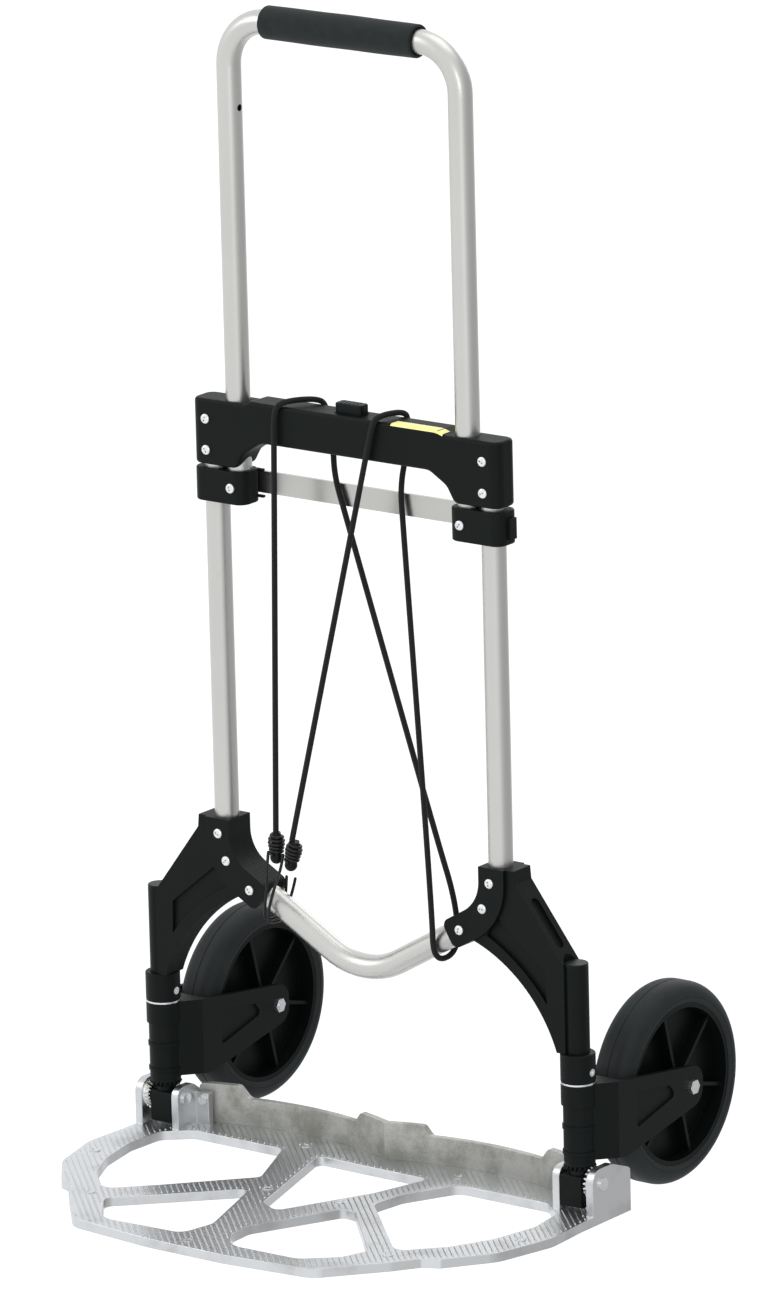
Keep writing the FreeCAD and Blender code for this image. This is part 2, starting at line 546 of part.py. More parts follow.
for side, name in ((-1, "left"), (1, "right")):
    screw_x = side * POST_HALF
    screw_seat = (screw_x + COLLAR_D / 2 - 2.0, 0, collar_mid_z)
    screw_tip = (screw_x + 3.0, 0, collar_mid_z)
    shank = rod(screw_tip, screw_seat, 2.0)
    head = rod(screw_seat, (screw_seat[0] + 1.8, 0, collar_mid_z), 3.4)
    recess = rod(screw_seat, (screw_seat[0] + 5, 0, collar_mid_z), 3.4)
    socket = rod((screw_seat[0] + 0.6, 0, collar_mid_z), (screw_seat[0] + 5, 0, collar_mid_z), 1.5)
    collar_screws.append(shank.fuse(head).cut(socket))
    parts["knee_arm_" + name] = mirrored(arm, side)
    parts["knee_cover_" + name] = mirrored(cover, side)
    post_caps.append(mirrored(cap, side))
    swivel_washers.append(mirrored(washer, side))
    parts["swivel_post_" + name] = mirrored(post, side).cut(shank)
    parts["collar_" + name] = mirrored(collar, side).cut(shank).cut(recess)
    parts["hinge_foot_" + name] = mirrored(foot, side)
parts["collar_screws"] = group(collar_screws)
parts["post_caps"] = group(post_caps)
parts["swivel_washers"] = group(swivel_washers)


# ---- bevel gears that swing the forks as the toe plate folds --------------------------------------
def bevel_gear(bore_r, back, offset_teeth):
    """Mitre gear with its apex at the origin and its axis along +Z; back is its rear face's height."""
    root = 1.3 * math.sqrt(2)
    small, large = GEAR_PITCH_R - 3.8, GEAR_PITCH_R - 0.8
    blank = turned([(bore_r, back), (bore_r, small + root - 0.4), (small, small + root),
                    (large, large + root), (large, back)], (0, 0, 0))
    pitch = 2 * math.pi / GEAR_TEETH
    tip_way, root_way = V(1, 0, -1).normalize(), V(-1, 0, 1).normalize()
    teeth = []
    for i in range(GEAR_TEETH):
        loops = []
        for r in (small, GEAR_PITCH_R - 0.4):
            k = r / GEAR_PITCH_R
            at = V(r, 0, r)
            tip, base = at + tip_way * (0.9 * k), at + root_way * (1.8 * k)
            half_tip, half_base = 0.5 * k, 1.25 * k
            loops.append(Part.makePolygon([base + Y * half_base, tip + Y * half_tip, tip - Y * half_tip,
                                           base - Y * half_base, base + Y * half_base]))
        tooth = Part.makeLoft(loops, True, True)
        tooth.rotate(V(0, 0, 0), Z, math.degrees((i + offset_teeth) * pitch))
        teeth.append(tooth)
    return blank.fuse(teeth)


bush_r = POST_R + 1.8
fork_gear = bevel_gear(bush_r + RUN_GAP, KNUCKLE_Z[0] - HINGE_Z, 0.0)
fork_gear.translate(V(POST_HALF, 0, HINGE_Z))
plate_gear = bevel_gear(pin_r, EAR_OUTER_X[0] - POST_HALF, 0.5)
plate_gear.rotate(V(0, 0, 0), Y, 90)
plate_gear.translate(V(POST_HALF, 0, HINGE_Z))

# ---- forks -------------------------------------------------------------------------------------
TIP_R = 17.0                   # fork's rounding about the axle
knuckle_r = KNUCKLE_D / 2
yoke_y = knuckle_r + 4.0       # where the fork's side plates start
knuckle = rod((0, 0, KNUCKLE_Z[0]), (0, 0, KNUCKLE_Z[1]), knuckle_r - 0.6)
rings = [(101.0, KNUCKLE_Z[1], 1.0), (80.0, 83.5, 0.3), (58.0, 61.0, 0.3)]
knuckle = knuckle.fuse([rod((0, 0, a), (0, 0, b), knuckle_r + grow) for a, b, grow in rings])
side_outline = [
    (yoke_y, KNUCKLE_Z[0] + 1.5, 5), (yoke_y + 16, KNUCKLE_Z[0] + 1.5, 8),
    (WHEEL_BACK + TIP_R * 0.9, AXLE_Z - TIP_R * 0.95, TIP_R - 2),
    (WHEEL_BACK + TIP_R, AXLE_Z + TIP_R - 1.5, TIP_R - 2), (yoke_y, KNUCKLE_Z[1], 3)]
side_plate = plate_yz(side_outline, (FORK_INNER, FORK_HALF))
pocket = plate_yz([(44.0, 72.0, 3), (101.0, 86.0, 4), (92.0, 97.0, 4), (44.0, 104.0, 3)],
                  (FORK_HALF - 2.0, FORK_HALF + 1))
side_plate = side_plate.cut(pocket)
front_wall = plate_xy(
    [(-FORK_HALF, yoke_y + 6), (-FORK_HALF, yoke_y), (-knuckle_r + 2, 0), (knuckle_r - 2, 0),
     (FORK_HALF, yoke_y), (FORK_HALF, yoke_y + 6)], (KNUCKLE_Z[0] + 2.5, KNUCKLE_Z[1]))
wheel_room = Part.makeCylinder(WHEEL_D / 2 + 5, 2 * FORK_INNER, V(-FORK_INNER, WHEEL_BACK, AXLE_Z), X)
front_wall = front_wall.cut(wheel_room)
fork = knuckle.fuse([side_plate, side_plate.mirror(V(0, 0, 0), X), front_wall])
fork = fork.cut(rod((0, 0, 0), (0, 0, 200), bush_r))
axle_hole = rod((-FORK_HALF - 1, WHEEL_BACK, AXLE_Z), (FORK_HALF + 1, WHEEL_BACK, AXLE_Z), AXLE_D / 2)
fork = fork.cut(axle_hole)
fork.translate(V(POST_HALF, 0, 0))
bush = rod((POST_HALF, 0, FOOT_Z[1]), (POST_HALF, 0, KNUCKLE_Z[1]), bush_r)
bush = bush.cut(rod((POST_HALF, 0, 0), (POST_HALF, 0, 200), POST_R + RUN_GAP))

# ---- axles, wheels -----------------------------------------------------------------------------
HEX_R = 6.5
centre = V(POST_HALF, WHEEL_BACK, AXLE_Z)


def hexagon(x, height):
    """Hexagonal nut or bolt head along X that starts at x from the wheel's middle plane."""
    face = Part.Face(Part.makePolygon([centre + V(x, HEX_R * math.cos(math.radians(60 * i)),
                                                  HEX_R * math.sin(math.radians(60 * i))) for i in range(7)]))
    return face.extrude(V(height, 0, 0))


HEX_HEIGHT = 4.0
bolt_room = Part.makeCylinder(AXLE_D / 2, 3 * FORK_HALF, centre - X * 1.5 * FORK_HALF, X)
axle_end = FORK_HALF + HEX_HEIGHT + 1.0
axle = Part.makeCylinder(AXLE_D / 2, axle_end + FORK_HALF, centre - X * axle_end, X)
axle = axle.fuse(hexagon(FORK_HALF, HEX_HEIGHT))
nut = hexagon(-FORK_HALF - HEX_HEIGHT, HEX_HEIGHT).cut(bolt_room)
hub_half = HUB_WIDTH / 2
spacers = []
for start in (-FORK_INNER, hub_half + SLIDE_GAP):
    ring = Part.makeCylinder(BUSH_D / 2, FORK_INNER - hub_half - SLIDE_GAP, centre + X * start, X)
    spacers.append(ring.cut(bolt_room))

rim_r = RIM_D / 2
rim_half = RIM_WIDTH / 2
RIM_WALL = 5.0
WEB = 4.0
well_r = rim_r - RIM_WALL
half_wheel = [(BUSH_D / 2, hub_half), (HUB_D / 2, hub_half), (HUB_D / 2, WEB / 2), (well_r, WEB / 2),
              (well_r + 1, rim_half), (rim_r, rim_half)]
wheel = turned([(r, -h) for r, h in half_wheel] + half_wheel[::-1], (0, 0, 0))
RIB_COUNT = 6
RIB_HALF = 1.6
ribs = []
for i in range(RIB_COUNT):
    rib = box((HUB_D / 2 - 1, well_r + 1), (-RIB_HALF, RIB_HALF), (-rim_half + 4, rim_half - 4))
    rib.rotate(V(0, 0, 0), Z, 360.0 / RIB_COUNT * i + 15)
    ribs.append(rib)
wheel = wheel.fuse(ribs)
half_w = TYRE_WIDTH / 2
outer_r = WHEEL_D / 2
lean = TYRE_SHOULDER_R * (1 - math.sqrt(0.5))
bead_edge, wall = V(rim_r, 0, rim_half), V(rim_r + 1.5, 0, half_w)
side_end, crown = V(outer_r - TYRE_SHOULDER_R, 0, half_w), V(outer_r, 0, half_w - TYRE_SHOULDER_R)
shoulder_middle = V(outer_r - lean, 0, half_w - lean)


def across_wheel(point):
    """The point's mirror image on the tyre's other side."""
    return V(point.x, 0, -point.z)


tyre_edges = lines([(p.x, p.z) for p in (across_wheel(bead_edge), bead_edge, wall, side_end)])
tyre_edges.append(Part.Arc(side_end, shoulder_middle, crown).toShape())
tyre_edges += lines([(p.x, p.z) for p in (crown, across_wheel(crown))])
tyre_edges.append(Part.Arc(*[across_wheel(p) for p in (crown, shoulder_middle, side_end)]).toShape())
tyre_edges += lines([(p.x, p.z) for p in map(across_wheel, (side_end, wall, bead_edge))])
tyre = face_of(tyre_edges).revolve(V(0, 0, 0), Z, 360)
bearing = turned([(AXLE_D / 2 + RUN_GAP, -hub_half), (BUSH_D / 2, -hub_half), (BUSH_D / 2, hub_half),
                  (AXLE_D / 2 + RUN_GAP, hub_half)], (0, 0, 0))
for piece in (wheel, tyre, bearing):
    piece.rotate(V(0, 0, 0), Y, 90)
    piece.translate(centre)

for side, name in ((-1, "left"), (1, "right")):
    parts["fork_" + name] = mirrored(fork, side)
    parts["fork_bush_" + name] = mirrored(bush, side)
    parts["fork_gear_" + name] = mirrored(fork_gear, side)
    parts["axle_bolt_" + name] = mirrored(axle, side)
    parts["axle_nut_" + name] = mirrored(nut, side)
    parts["axle_spacers_" + name] = mirrored(group(spacers), side)
    parts["wheel_" + name] = mirrored(wheel, side)
    parts["tyre_" + name] = mirrored(tyre, side)
    parts["wheel_bearing_" + name] = mirrored(bearing, side)
    parts["plate_gear_" + name] = mirrored(plate_gear, side)

# ---- toe plate -----------------------------------------------------------------------------------
fold_x = POST_HALF - WHEEL_BACK      # where a folded wheel's lowest point stands
bow_half = EAR_INNER_X[0] - fold_x
cheek_x = EAR_OUTER_X[1]
right_edge = [(cheek_x, 14.0), (cheek_x, -30.0, 20), (cheek_x + 3, -76.0, 40), (cheek_x - 12, -132.0, 40),
              (200.0, -172.0, 6), (186.0, -178.0, 5), (170.0, -200.0, 30), (126.0, -250.0, 22),
              (40.0, -259.0, 120)]
plate = plate_xy(right_edge + [(-p[0],) + p[1:] for p in reversed(right_edge)], (0, PLATE_THICK))


def bowed_strip(front_y, z):
    """Strip across the truck up to the rail's rear face; front_y None gives the rail's own thickness."""
    inner_x = min(bow_half - fold_x, -0.5)

    def curve(extra):
        near, far = RAIL_NEAR_Y + extra, RAIL_FAR_Y + extra
        left = [V(-EAR_INNER_X[0], near, 0), V(-fold_x, far, 0), V(inner_x, near, 0)]
        right = [V(-p.x, p.y, 0) for p in reversed(left)]
        middle = Part.LineSegment(left[2], right[0])
        return [Part.Arc(*left), middle, Part.Arc(*right)], left[0], right[2]

    rear, rear_left, rear_right = curve(RAIL_THICK)
    if front_y is None:
        front, front_left, front_right = curve(0.0)
    else:
        front_left, front_right = V(rear_left.x, front_y, 0), V(rear_right.x, front_y, 0)
        front = [Part.LineSegment(front_left, front_right)]
    outline = rear + [Part.LineSegment(rear_right, front_right)] + front[::-1]
    outline.append(Part.LineSegment(front_left, rear_left))
    face = face_of([piece.toShape() for piece in outline])
    face.translate(V(0, 0, z[0]))
    return face.extrude(V(0, 0, z[1] - z[0]))


plate = plate.fuse(bowed_strip(5.0, (0, PLATE_THICK)))
# Five openings between crossing webs; the outer pair is where the folded forks and wheels nest.
nest = POST_HALF
openings = {
    "rear_left": [(32 - nest, -3, 10), (-92, -3, 9), (-60, -76, 8), (-120, -140, 30), (-155, -173, 12),
                  (33 - nest, -140, 25), (16 - nest, -104, 25), (7 - nest, -60, 25), (9 - nest, -22, 12)],
    "front_left": [(-48, -106, 7), (-17, -198, 20), (-24, -232, 12), (-105, -236, 20), (-137, -193, 8)],
    "rear_middle": [(-54, -3, 6), (64, -4, 5), (48, -58, 30), (6, -142, 8), (-16, -130, 6)],
    "front_middle": [(12, -186, 12), (52, -108, 6), (66, -110, 5), (136, -186, 8), (128, -210, 14),
                     (100, -234, 20), (30, -236, 20), (13, -210, 14)],
    "rear_right": [(96, -3, 14), (nest - 32, -3, 10), (nest - 9, -22, 12), (nest - 4, -60, 25),
                   (nest - 14, -104, 25), (nest - 33, -140, 25), (155, -174, 12), (66, -84, 10),
                   (71, -50, 20)]}
for corners in openings.values():
    plate = plate.cut(plate_xy(corners, (-1, PLATE_THICK + 1)))
ear_r = 11.0
cheek_r = 14.0
rail_end_y = RAIL_NEAR_Y + RAIL_THICK
ear_low_z = PLATE_THICK - 1.0
inner_ear = plate_yz([(-ear_r, ear_low_z), (rail_end_y, ear_low_z), (rail_end_y, HINGE_Z, 5),
                      (ear_r, HINGE_Z + ear_r, 8), (-ear_r, HINGE_Z + ear_r, 9)], EAR_INNER_X)
outer_ear = plate_yz([(-cheek_r, ear_low_z), (HEEL_Y, ear_low_z), (HEEL_Y, HINGE_Z + 4, 5),
                      (cheek_r, HINGE_Z + cheek_r, 10), (-cheek_r, HINGE_Z + cheek_r, 12)], EAR_OUTER_X)
bore = rod((EAR_INNER_X[0] - 5, 0, HINGE_Z), (EAR_OUTER_X[1] + 5, 0, HINGE_Z), pin_r)
heel = box(EAR_OUTER_X, (0, HEEL_Y), (0, PLATE_THICK))
floor_patch = box((EAR_INNER_X[0] - 1, EAR_OUTER_X[1]), (-5, rail_end_y), (0, PLATE_THICK))
RIVET_R = 2.5
RIVET_Z = HINGE_Z - 3.0
tab_half, tab_top = RAIL_TAB
lug_x = EAR_INNER_X[0] - 34.0
rail_side = [(EAR_INNER_X[0], PLATE_THICK), (EAR_INNER_X[0], RAIL_LUG_Z, 4), (lug_x, RAIL_LUG_Z, 6),
             (lug_x - 9, RAIL_TOP_Z, 6), (tab_half + 7, RAIL_TOP_Z, 4), (tab_half, tab_top, 4)]
rail_front = plate_xz(rail_side + [(-p[0],) + p[1:] for p in reversed(rail_side)], (0, 2 * RAIL_FAR_Y))
rail = bowed_strip(None, (PLATE_THICK, RAIL_LUG_Z)).common(rail_front)
tie_y = ear_r + 3.0            # front of the block that joins an inner ear to the rail
tie = box((EAR_INNER_X[0] - 14, EAR_INNER_X[1]), (tie_y, RAIL_NEAR_Y), (ear_low_z, RIVET_Z + 6))
tie = tie.cut(bowed_strip(None, (0, RAIL_LUG_Z)))
rail_rivets = []
for side, name in ((-1, "left"), (1, "right")):
    plate = plate.fuse([mirrored(piece, side) for piece in (inner_ear, outer_ear, heel, floor_patch, tie)])
    plate = plate.cut(mirrored(bore, side))
    pin = rod((EAR_INNER_X[0], 0, HINGE_Z), (EAR_OUTER_X[1], 0, HINGE_Z), pin_r)
    for at, way in ((EAR_INNER_X[0], -1), (EAR_OUTER_X[1], 1)):
        pin = pin.fuse(rod((at, 0, HINGE_Z), (at + way * 2.0, 0, HINGE_Z), pin_r + 1.5))
    parts["hinge_pin_" + name] = mirrored(pin, side)
    x = side * (EAR_INNER_X[0] - 8)
    rivet = rod((x, tie_y, RIVET_Z), (x, rail_end_y + 2.5, RIVET_Z), RIVET_R)
    head = rod((x, tie_y - 2, RIVET_Z), (x, tie_y, RIVET_Z), RIVET_R + 2)
    rail_rivets.append(rivet.fuse(head))
    rail = rail.cut(rivet)
    plate = plate.cut(rivet)
parts["toe_plate"] = plate
parts["rear_rail"] = rail
parts["rail_rivets"] = group(rail_rivets)

# ---- bungee cord and its hooks -------------------------------------------------------------------
# One cord: hook, up the front, over the crossbar, down behind, round the right-hand leg of the
# frame tube, and back the same way to the second hook. It is pulled tight between those places.
cord_r = CORD_D / 2
FERRULE_TOP_OUTER = (-79.0, -17.5, 295.0)
FERRULE_TOP_INNER = (-62.0, -17.5, 290.5)
FERRULE_LENGTH = 28.0
FERRULE_R = 5.2


def under_tube(x):
    """Height of the cord's axis below the frame tube's right-hand sloping leg."""
    return FRAME_VEE_Z + x * VEE_SLOPE - TUBE_R / VEE_STEEP - cord_r - 2.5


face_y = HALF_DEPTH + cord_r + 1.7     # cord in front of and behind the crossbar
over_y, over_z = HALF_DEPTH - 1.0, mid_top + 4.8
inside_y = HALF_DEPTH - cord_r - 1.1   # cord in front of the flat bar
tube_y = TUBE_R + cord_r + 1.2         # cord beside the frame tube
cord_points = [
    FERRULE_TOP_OUTER,
    (-68.5, -face_y, top - 0.5), (-64.0, -over_y, over_z),
    (-44.0, over_y, over_z), (-40.0, face_y, top - 0.5),
    (-34.0, face_y - 0.8, mid_low), (-28.0, inside_y, low),
    (70.0, inside_y + 0.2, 306.0), (86.0, tube_y, 252.0), (88.0, tube_y, under_tube(88.0)),
    (82.0, -tube_y, under_tube(82.0)), (82.0, -tube_y, 250.0),
    (41.0, inside_y, low), (42.0, face_y - 0.8, mid_low),
    (45.5, face_y, top - 0.5), (44.5, over_y, over_z), (36.0, -over_y, over_z), (34.0, -face_y, top - 0.5),
    FERRULE_TOP_INNER]


def easy_radii(points, share=0.45):
    """Largest round bends that leave each run of the route a straight middle."""
    points = [V(*p) for p in points]
    radii = []
    for before, corner, after in zip(points, points[1:], points[2:]):
        half_turn = (math.pi - (before - corner).getAngle(after - corner)) / 2
        shorter = min((before - corner).Length, (after - corner).Length)
        radii.append(share * shorter / math.tan(half_turn))
    return radii


cord_radii = easy_radii(cord_points)
print("cord bend radii:", [round(radius, 1) for radius in cord_radii])
cord_wire = path(cord_points, cord_radii)
parts["bungee_cord"] = swept(cord_wire, cord_r)
print("cord length:", round(cord_wire.Length, 1))
print("cord volume over section times length:",
      parts["bungee_cord"].Volume / (math.pi * cord_r ** 2 * cord_wire.Length))

HOOK_WIRE_R = 1.4
HOOK_GAP = 0.4
for name, top_end, hook_x in (("outer", FERRULE_TOP_OUTER, -91.5), ("inner", FERRULE_TOP_INNER, -86.5)):
    start = V(*top_end)
    sleeve_low = start - Z * FERRULE_LENGTH + X * 0.5
    parts["cord_ferrule_" + name] = rounded(rod(start, sleeve_low, FERRULE_R), 1.0, lambda e: e.Closed)
    leg_z = FRAME_VEE_Z - hook_x * VEE_SLOPE
    under = leg_z - TUBE_R / VEE_STEEP - HOOK_WIRE_R - HOOK_GAP
    out_y = TUBE_R + HOOK_WIRE_R + HOOK_GAP
    hook_wire = path([sleeve_low, (hook_x + 3, -out_y - 2.0, leg_z + 20), (hook_x, -out_y, under),
                      (hook_x, out_y, under), (hook_x - 1, out_y, leg_z + 18)],
                     [20.0, out_y - 0.2, out_y - 0.2])
    parts["cord_hook_" + name] = swept(hook_wire, HOOK_WIRE_R)

# ---- output ----------------------------------------------------------------------------------------
os.makedirs("parts", exist_ok=True)
for node, shape in parts.items():
    shape.exportStep("parts/" + node + ".step")
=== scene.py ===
"""Looks of the folding hand truck: finishes, detailed pieces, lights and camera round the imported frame.

Metres, +Z up, +X the truck's right seen from the front, -Y the front where the toe plate lies.
"""
import json
import math

import bmesh
import bpy
from mathutils import Matrix, Vector
from mathutils.bvhtree import BVHTree


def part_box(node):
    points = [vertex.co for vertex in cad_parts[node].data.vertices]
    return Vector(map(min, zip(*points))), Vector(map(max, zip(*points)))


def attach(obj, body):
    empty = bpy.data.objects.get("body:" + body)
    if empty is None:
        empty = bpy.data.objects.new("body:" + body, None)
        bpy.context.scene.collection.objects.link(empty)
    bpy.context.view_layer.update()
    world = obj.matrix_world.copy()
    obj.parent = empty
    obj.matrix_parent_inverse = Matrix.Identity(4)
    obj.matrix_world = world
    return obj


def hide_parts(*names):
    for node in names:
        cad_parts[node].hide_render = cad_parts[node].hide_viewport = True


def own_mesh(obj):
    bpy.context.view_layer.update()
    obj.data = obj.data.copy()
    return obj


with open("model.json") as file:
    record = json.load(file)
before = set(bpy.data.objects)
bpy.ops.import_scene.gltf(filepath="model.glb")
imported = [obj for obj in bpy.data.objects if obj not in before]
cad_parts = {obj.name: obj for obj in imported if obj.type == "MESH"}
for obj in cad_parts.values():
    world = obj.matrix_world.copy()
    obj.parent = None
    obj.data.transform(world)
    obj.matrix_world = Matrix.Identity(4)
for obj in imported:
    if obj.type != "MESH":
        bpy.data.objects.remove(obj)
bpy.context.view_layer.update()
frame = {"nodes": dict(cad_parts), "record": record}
NODES = frame["nodes"]
MM = 0.001
X, Y, Z = Vector((1, 0, 0)), Vector((0, 1, 0)), Vector((0, 0, 1))


# ---- camera ------------------------------------------------------------------------------------
CAMERA_AZIMUTH = 0.649
CAMERA_ELEVATION = math.radians(15.0)
CAMERA_ROLL = math.radians(-1.42)
CAMERA_DISTANCE = 8.644
CAMERA_TARGET = Vector((0.0211, 0.0035, 0.4645))
CAMERA_LENS = 285.4


def place_camera():
    """Long lens from the front, turned to the truck's right, a little above."""
    data = bpy.data.cameras.new("camera")
    data.lens = CAMERA_LENS
    data.sensor_width = 36.0
    camera = bpy.data.objects.new("camera", data)
    bpy.context.scene.collection.objects.link(camera)
    across = math.cos(CAMERA_ELEVATION)
    back = Vector((math.sin(CAMERA_AZIMUTH) * across, -math.cos(CAMERA_AZIMUTH) * across,
                   math.sin(CAMERA_ELEVATION)))
    right = Vector((math.cos(CAMERA_AZIMUTH), math.sin(CAMERA_AZIMUTH), 0))
    up = back.cross(right)
    tilted_right = right * math.cos(CAMERA_ROLL) + up * math.sin(CAMERA_ROLL)
    tilted_up = up * math.cos(CAMERA_ROLL) - right * math.sin(CAMERA_ROLL)
    turn = Matrix((tilted_right, tilted_up, back)).transposed()
    camera.matrix_world = Matrix.Translation(CAMERA_TARGET + back * CAMERA_DISTANCE) @ turn.to_4x4()
    bpy.context.scene.camera = camera


# ---- shader helpers ------------------------------------------------------------------------------
class Value:
    """A number or colour that changes over a surface, usable in plain arithmetic."""

    def __init__(self, shading, socket):
        self.shading = shading
        self.socket = socket

    def maths(self, operation, *values):
        return self.shading.node("Math", {"operation": operation}, dict(enumerate(values)))

    def __add__(self, other):
        return self.maths("ADD", self, other)

    def __sub__(self, other):
        return self.maths("SUBTRACT", self, other)

    def __rsub__(self, other):
        return self.maths("SUBTRACT", other, self)

    def __mul__(self, other):
        return self.maths("MULTIPLY", self, other)

    def __pow__(self, other):
        return self.maths("POWER", self, other)

    __radd__ = __add__
    __rmul__ = __mul__

    def sine(self):
        return self.maths("SINE", self)

    def size(self):
        return self.maths("ABSOLUTE", self)

    def clamped(self, low, high, to_low=0.0, to_high=1.0):
        """Smooth step from to_low to to_high as the value goes from low to high."""
        return self.shading.node("MapRange", {"interpolation_type": "SMOOTHSTEP"},
                                 {0: self, 1: low, 2: high, 3: to_low, 4: to_high})


class Shading:
    """A node tree, and the one way in which nodes are added to it."""

    def __init__(self, tree):
        self.tree = tree

    def node(self, kind, settings=None, sockets=None, out=0):
        made = self.tree.nodes.new("ShaderNode" + kind)
        for name, value in (settings or {}).items():
            setattr(made, name, value)
        for key, value in (sockets or {}).items():
            self.feed(made.inputs[key], value)
        return Value(self, made.outputs[out])

    def feed(self, socket, value):
        if isinstance(value, Value):
            self.tree.links.new(value.socket, socket)
        else:
            socket.default_value = value


class Finish(Shading):
    """One material round a Principled shader."""

    def __init__(self, name, colour, **plain):
        self.name = name
        self.material = bpy.data.materials.new(name)
        self.material.use_nodes = True
        super().__init__(self.material.node_tree)
        self.shader = self.tree.nodes["Principled BSDF"]
        self.set("Base Color", (*colour, 1.0))
        for socket, value in plain.items():
            self.set(socket.replace("_", " ").title().replace("Ior", "IOR"), value)
        self.spot = self.node("TexCoord", out="Object")

    def set(self, socket, value):
        self.feed(self.shader.inputs[socket], value)

    def stretched(self, factors):
        return self.node("VectorMath", {"operation": "MULTIPLY"}, {0: self.spot, 1: factors})

    def noise(self, scale, detail=2.0, stretch=None, roughness=0.5):
        where = self.stretched(stretch) if stretch else self.spot
        return self.node("TexNoise", {}, {"Vector": where, "Scale": scale, "Detail": detail,
                                          "Roughness": roughness})

    def cells(self, scale):
        return self.node("TexVoronoi", {}, {"Vector": self.spot, "Scale": scale}, "Distance")

    def axis(self, index):
        return self.node("SeparateXYZ", {}, {0: self.spot}, index)

    def mixed(self, factor, first, second):
        """Colour between two colours: a Mix node takes them at 6 and 7 and gives the result at 2."""
        def colour(value):
            return value if isinstance(value, Value) else (*value, 1.0)
        sockets = {"Factor": factor, 6: colour(first), 7: colour(second)}
        return self.node("Mix", {"data_type": "RGBA"}, sockets, 2)

    def relief(self, height, depth, strength=1.0, edge=0.0):
        """Fine surface height in metres, on edges broken by a small radius."""
        sockets = {"Height": height, "Distance": depth, "Strength": strength}
        if edge:
            sockets["Normal"] = self.node("Bevel", {"samples": 4}, {"Radius": edge})
        self.set("Normal", self.node("Bump", {}, sockets))


def tint(colour, factor):
    return tuple(min(1.0, c * factor) for c in colour)


# ---- finishes ------------------------------------------------------------------------------------
def drawn_aluminium(name, colour, roughness, grain):
    """Satin metal with fine lines along its length, hardly seen from a step away."""
    finish = Finish(name, colour, metallic=1.0)
    lines = finish.noise(420.0, 2.0, grain)
    haze = finish.noise(9.0, 3.0)
    scuffs = finish.noise(60.0, 6.0, roughness=0.7).clamped(0.62, 0.78)
    finish.set("Base Color", finish.mixed(haze * 0.6 + scuffs * 0.3, tint(colour, 1.04), tint(colour, 0.86)))
    finish.set("Roughness", roughness + (lines - 0.5) * 0.10 + (haze - 0.5) * 0.08 + scuffs * 0.10)
    finish.relief(lines, 0.00004, 0.5)
    return finish


def moulded_plastic(name, colour, roughness, grain_scale, grain_depth, edge=0.0005, split=False):
    """Fibre-filled nylon: spark-eroded grain with faint flow marks, rubbed patches and a joint line."""
    finish = Finish(name, colour, specular_ior_level=0.11)
    grain = finish.noise(grain_scale, 3.0, roughness=0.6)
    flow = finish.noise(14.0, 4.0, (1.0, 1.0, 0.5))
    rubbed = finish.noise(38.0, 5.0, roughness=0.65).clamped(0.6, 0.75)
    finish.set("Base Color", finish.mixed(flow, tint(colour, 0.75), tint(colour, 1.5)))
    finish.set("Roughness", roughness + (flow - 0.5) * 0.16 - rubbed * 0.07 + (grain - 0.5) * 0.08)
    height = grain * grain_depth * 1000
    if split:
        height = height + finish.axis(1).size().clamped(0.00015, 0.0004)
    finish.relief(height, 0.001, 0.7, edge)
    return finish


def bright_zinc(name):
    """Bright plated steel with faint yellow and blue in the plate."""
    finish = Finish(name, (0.78, 0.78, 0.77), metallic=1.0)
    cloud = finish.noise(180.0, 4.0)
    finish.set("Base Color", finish.mixed(cloud.clamped(0.35, 0.65), (0.80, 0.79, 0.74), (0.68, 0.71, 0.76)))
    finish.set("Roughness", 0.20 + cloud * 0.14)
    finish.relief(finish.noise(1400.0, 2.0), 0.00005, 0.5, 0.0003)
    return finish


def polished_casting():
    """Tumbled and polished cast aluminium: bright, a little wavy, pitted and dull in its low places."""
    colour = (0.62, 0.63, 0.64)
    finish = Finish("cast_plate", colour, metallic=1.0)
    waves = finish.noise(55.0, 3.0)
    pits = finish.noise(900.0, 4.0, roughness=0.65)
    dull = finish.noise(22.0, 5.0, roughness=0.6).clamped(0.45, 0.75)
    finish.set("Base Color", finish.mixed(dull, colour, tint(colour, 0.75)))
    finish.set("Roughness", 0.27 + dull * 0.08 + pits * 0.10)
    finish.relief(waves * 0.7 + pits * 0.3, 0.0004, 0.35, 0.0012)
    return finish


def raw_casting():
    """Sand-grey cast aluminium, blotched as it left the die."""
    finish = Finish("cast_rail", (0.52, 0.52, 0.49), metallic=0.85)
    blotch = finish.noise(34.0, 6.0, roughness=0.68)
    grit = finish.noise(1100.0, 4.0, roughness=0.7)
    warm = finish.mixed(blotch.clamped(0.36, 0.66), (0.52, 0.52, 0.495), (0.33, 0.33, 0.295))
    finish.set("Base Color", finish.mixed(grit.clamped(0.45, 0.75) * 0.6, warm, (0.24, 0.24, 0.22)))
    finish.set("Roughness", 0.44 + blotch * 0.2 + grit * 0.1)
    finish.relief(blotch * 0.7 + grit * 0.3, 0.0006, 0.5, 0.0009)
    return finish


def foam_rubber():
    """Closed-cell foam with a skin of tiny pores."""
    colour = (0.008, 0.011, 0.012)
    finish = Finish("grip_foam", colour, specular_ior_level=0.2, sheen_weight=0.06, sheen_roughness=0.6)
    pores = finish.cells(1500.0)
    mottle = finish.noise(120.0, 5.0, roughness=0.65)
    finish.set("Base Color", finish.mixed(mottle.clamped(0.35, 0.7), tint(colour, 0.8), tint(colour, 1.3)))
    finish.set("Roughness", 0.68 + mottle * 0.2)
    finish.relief(pores * 0.6 + mottle * 0.5, 0.0003, 0.6)
    return finish


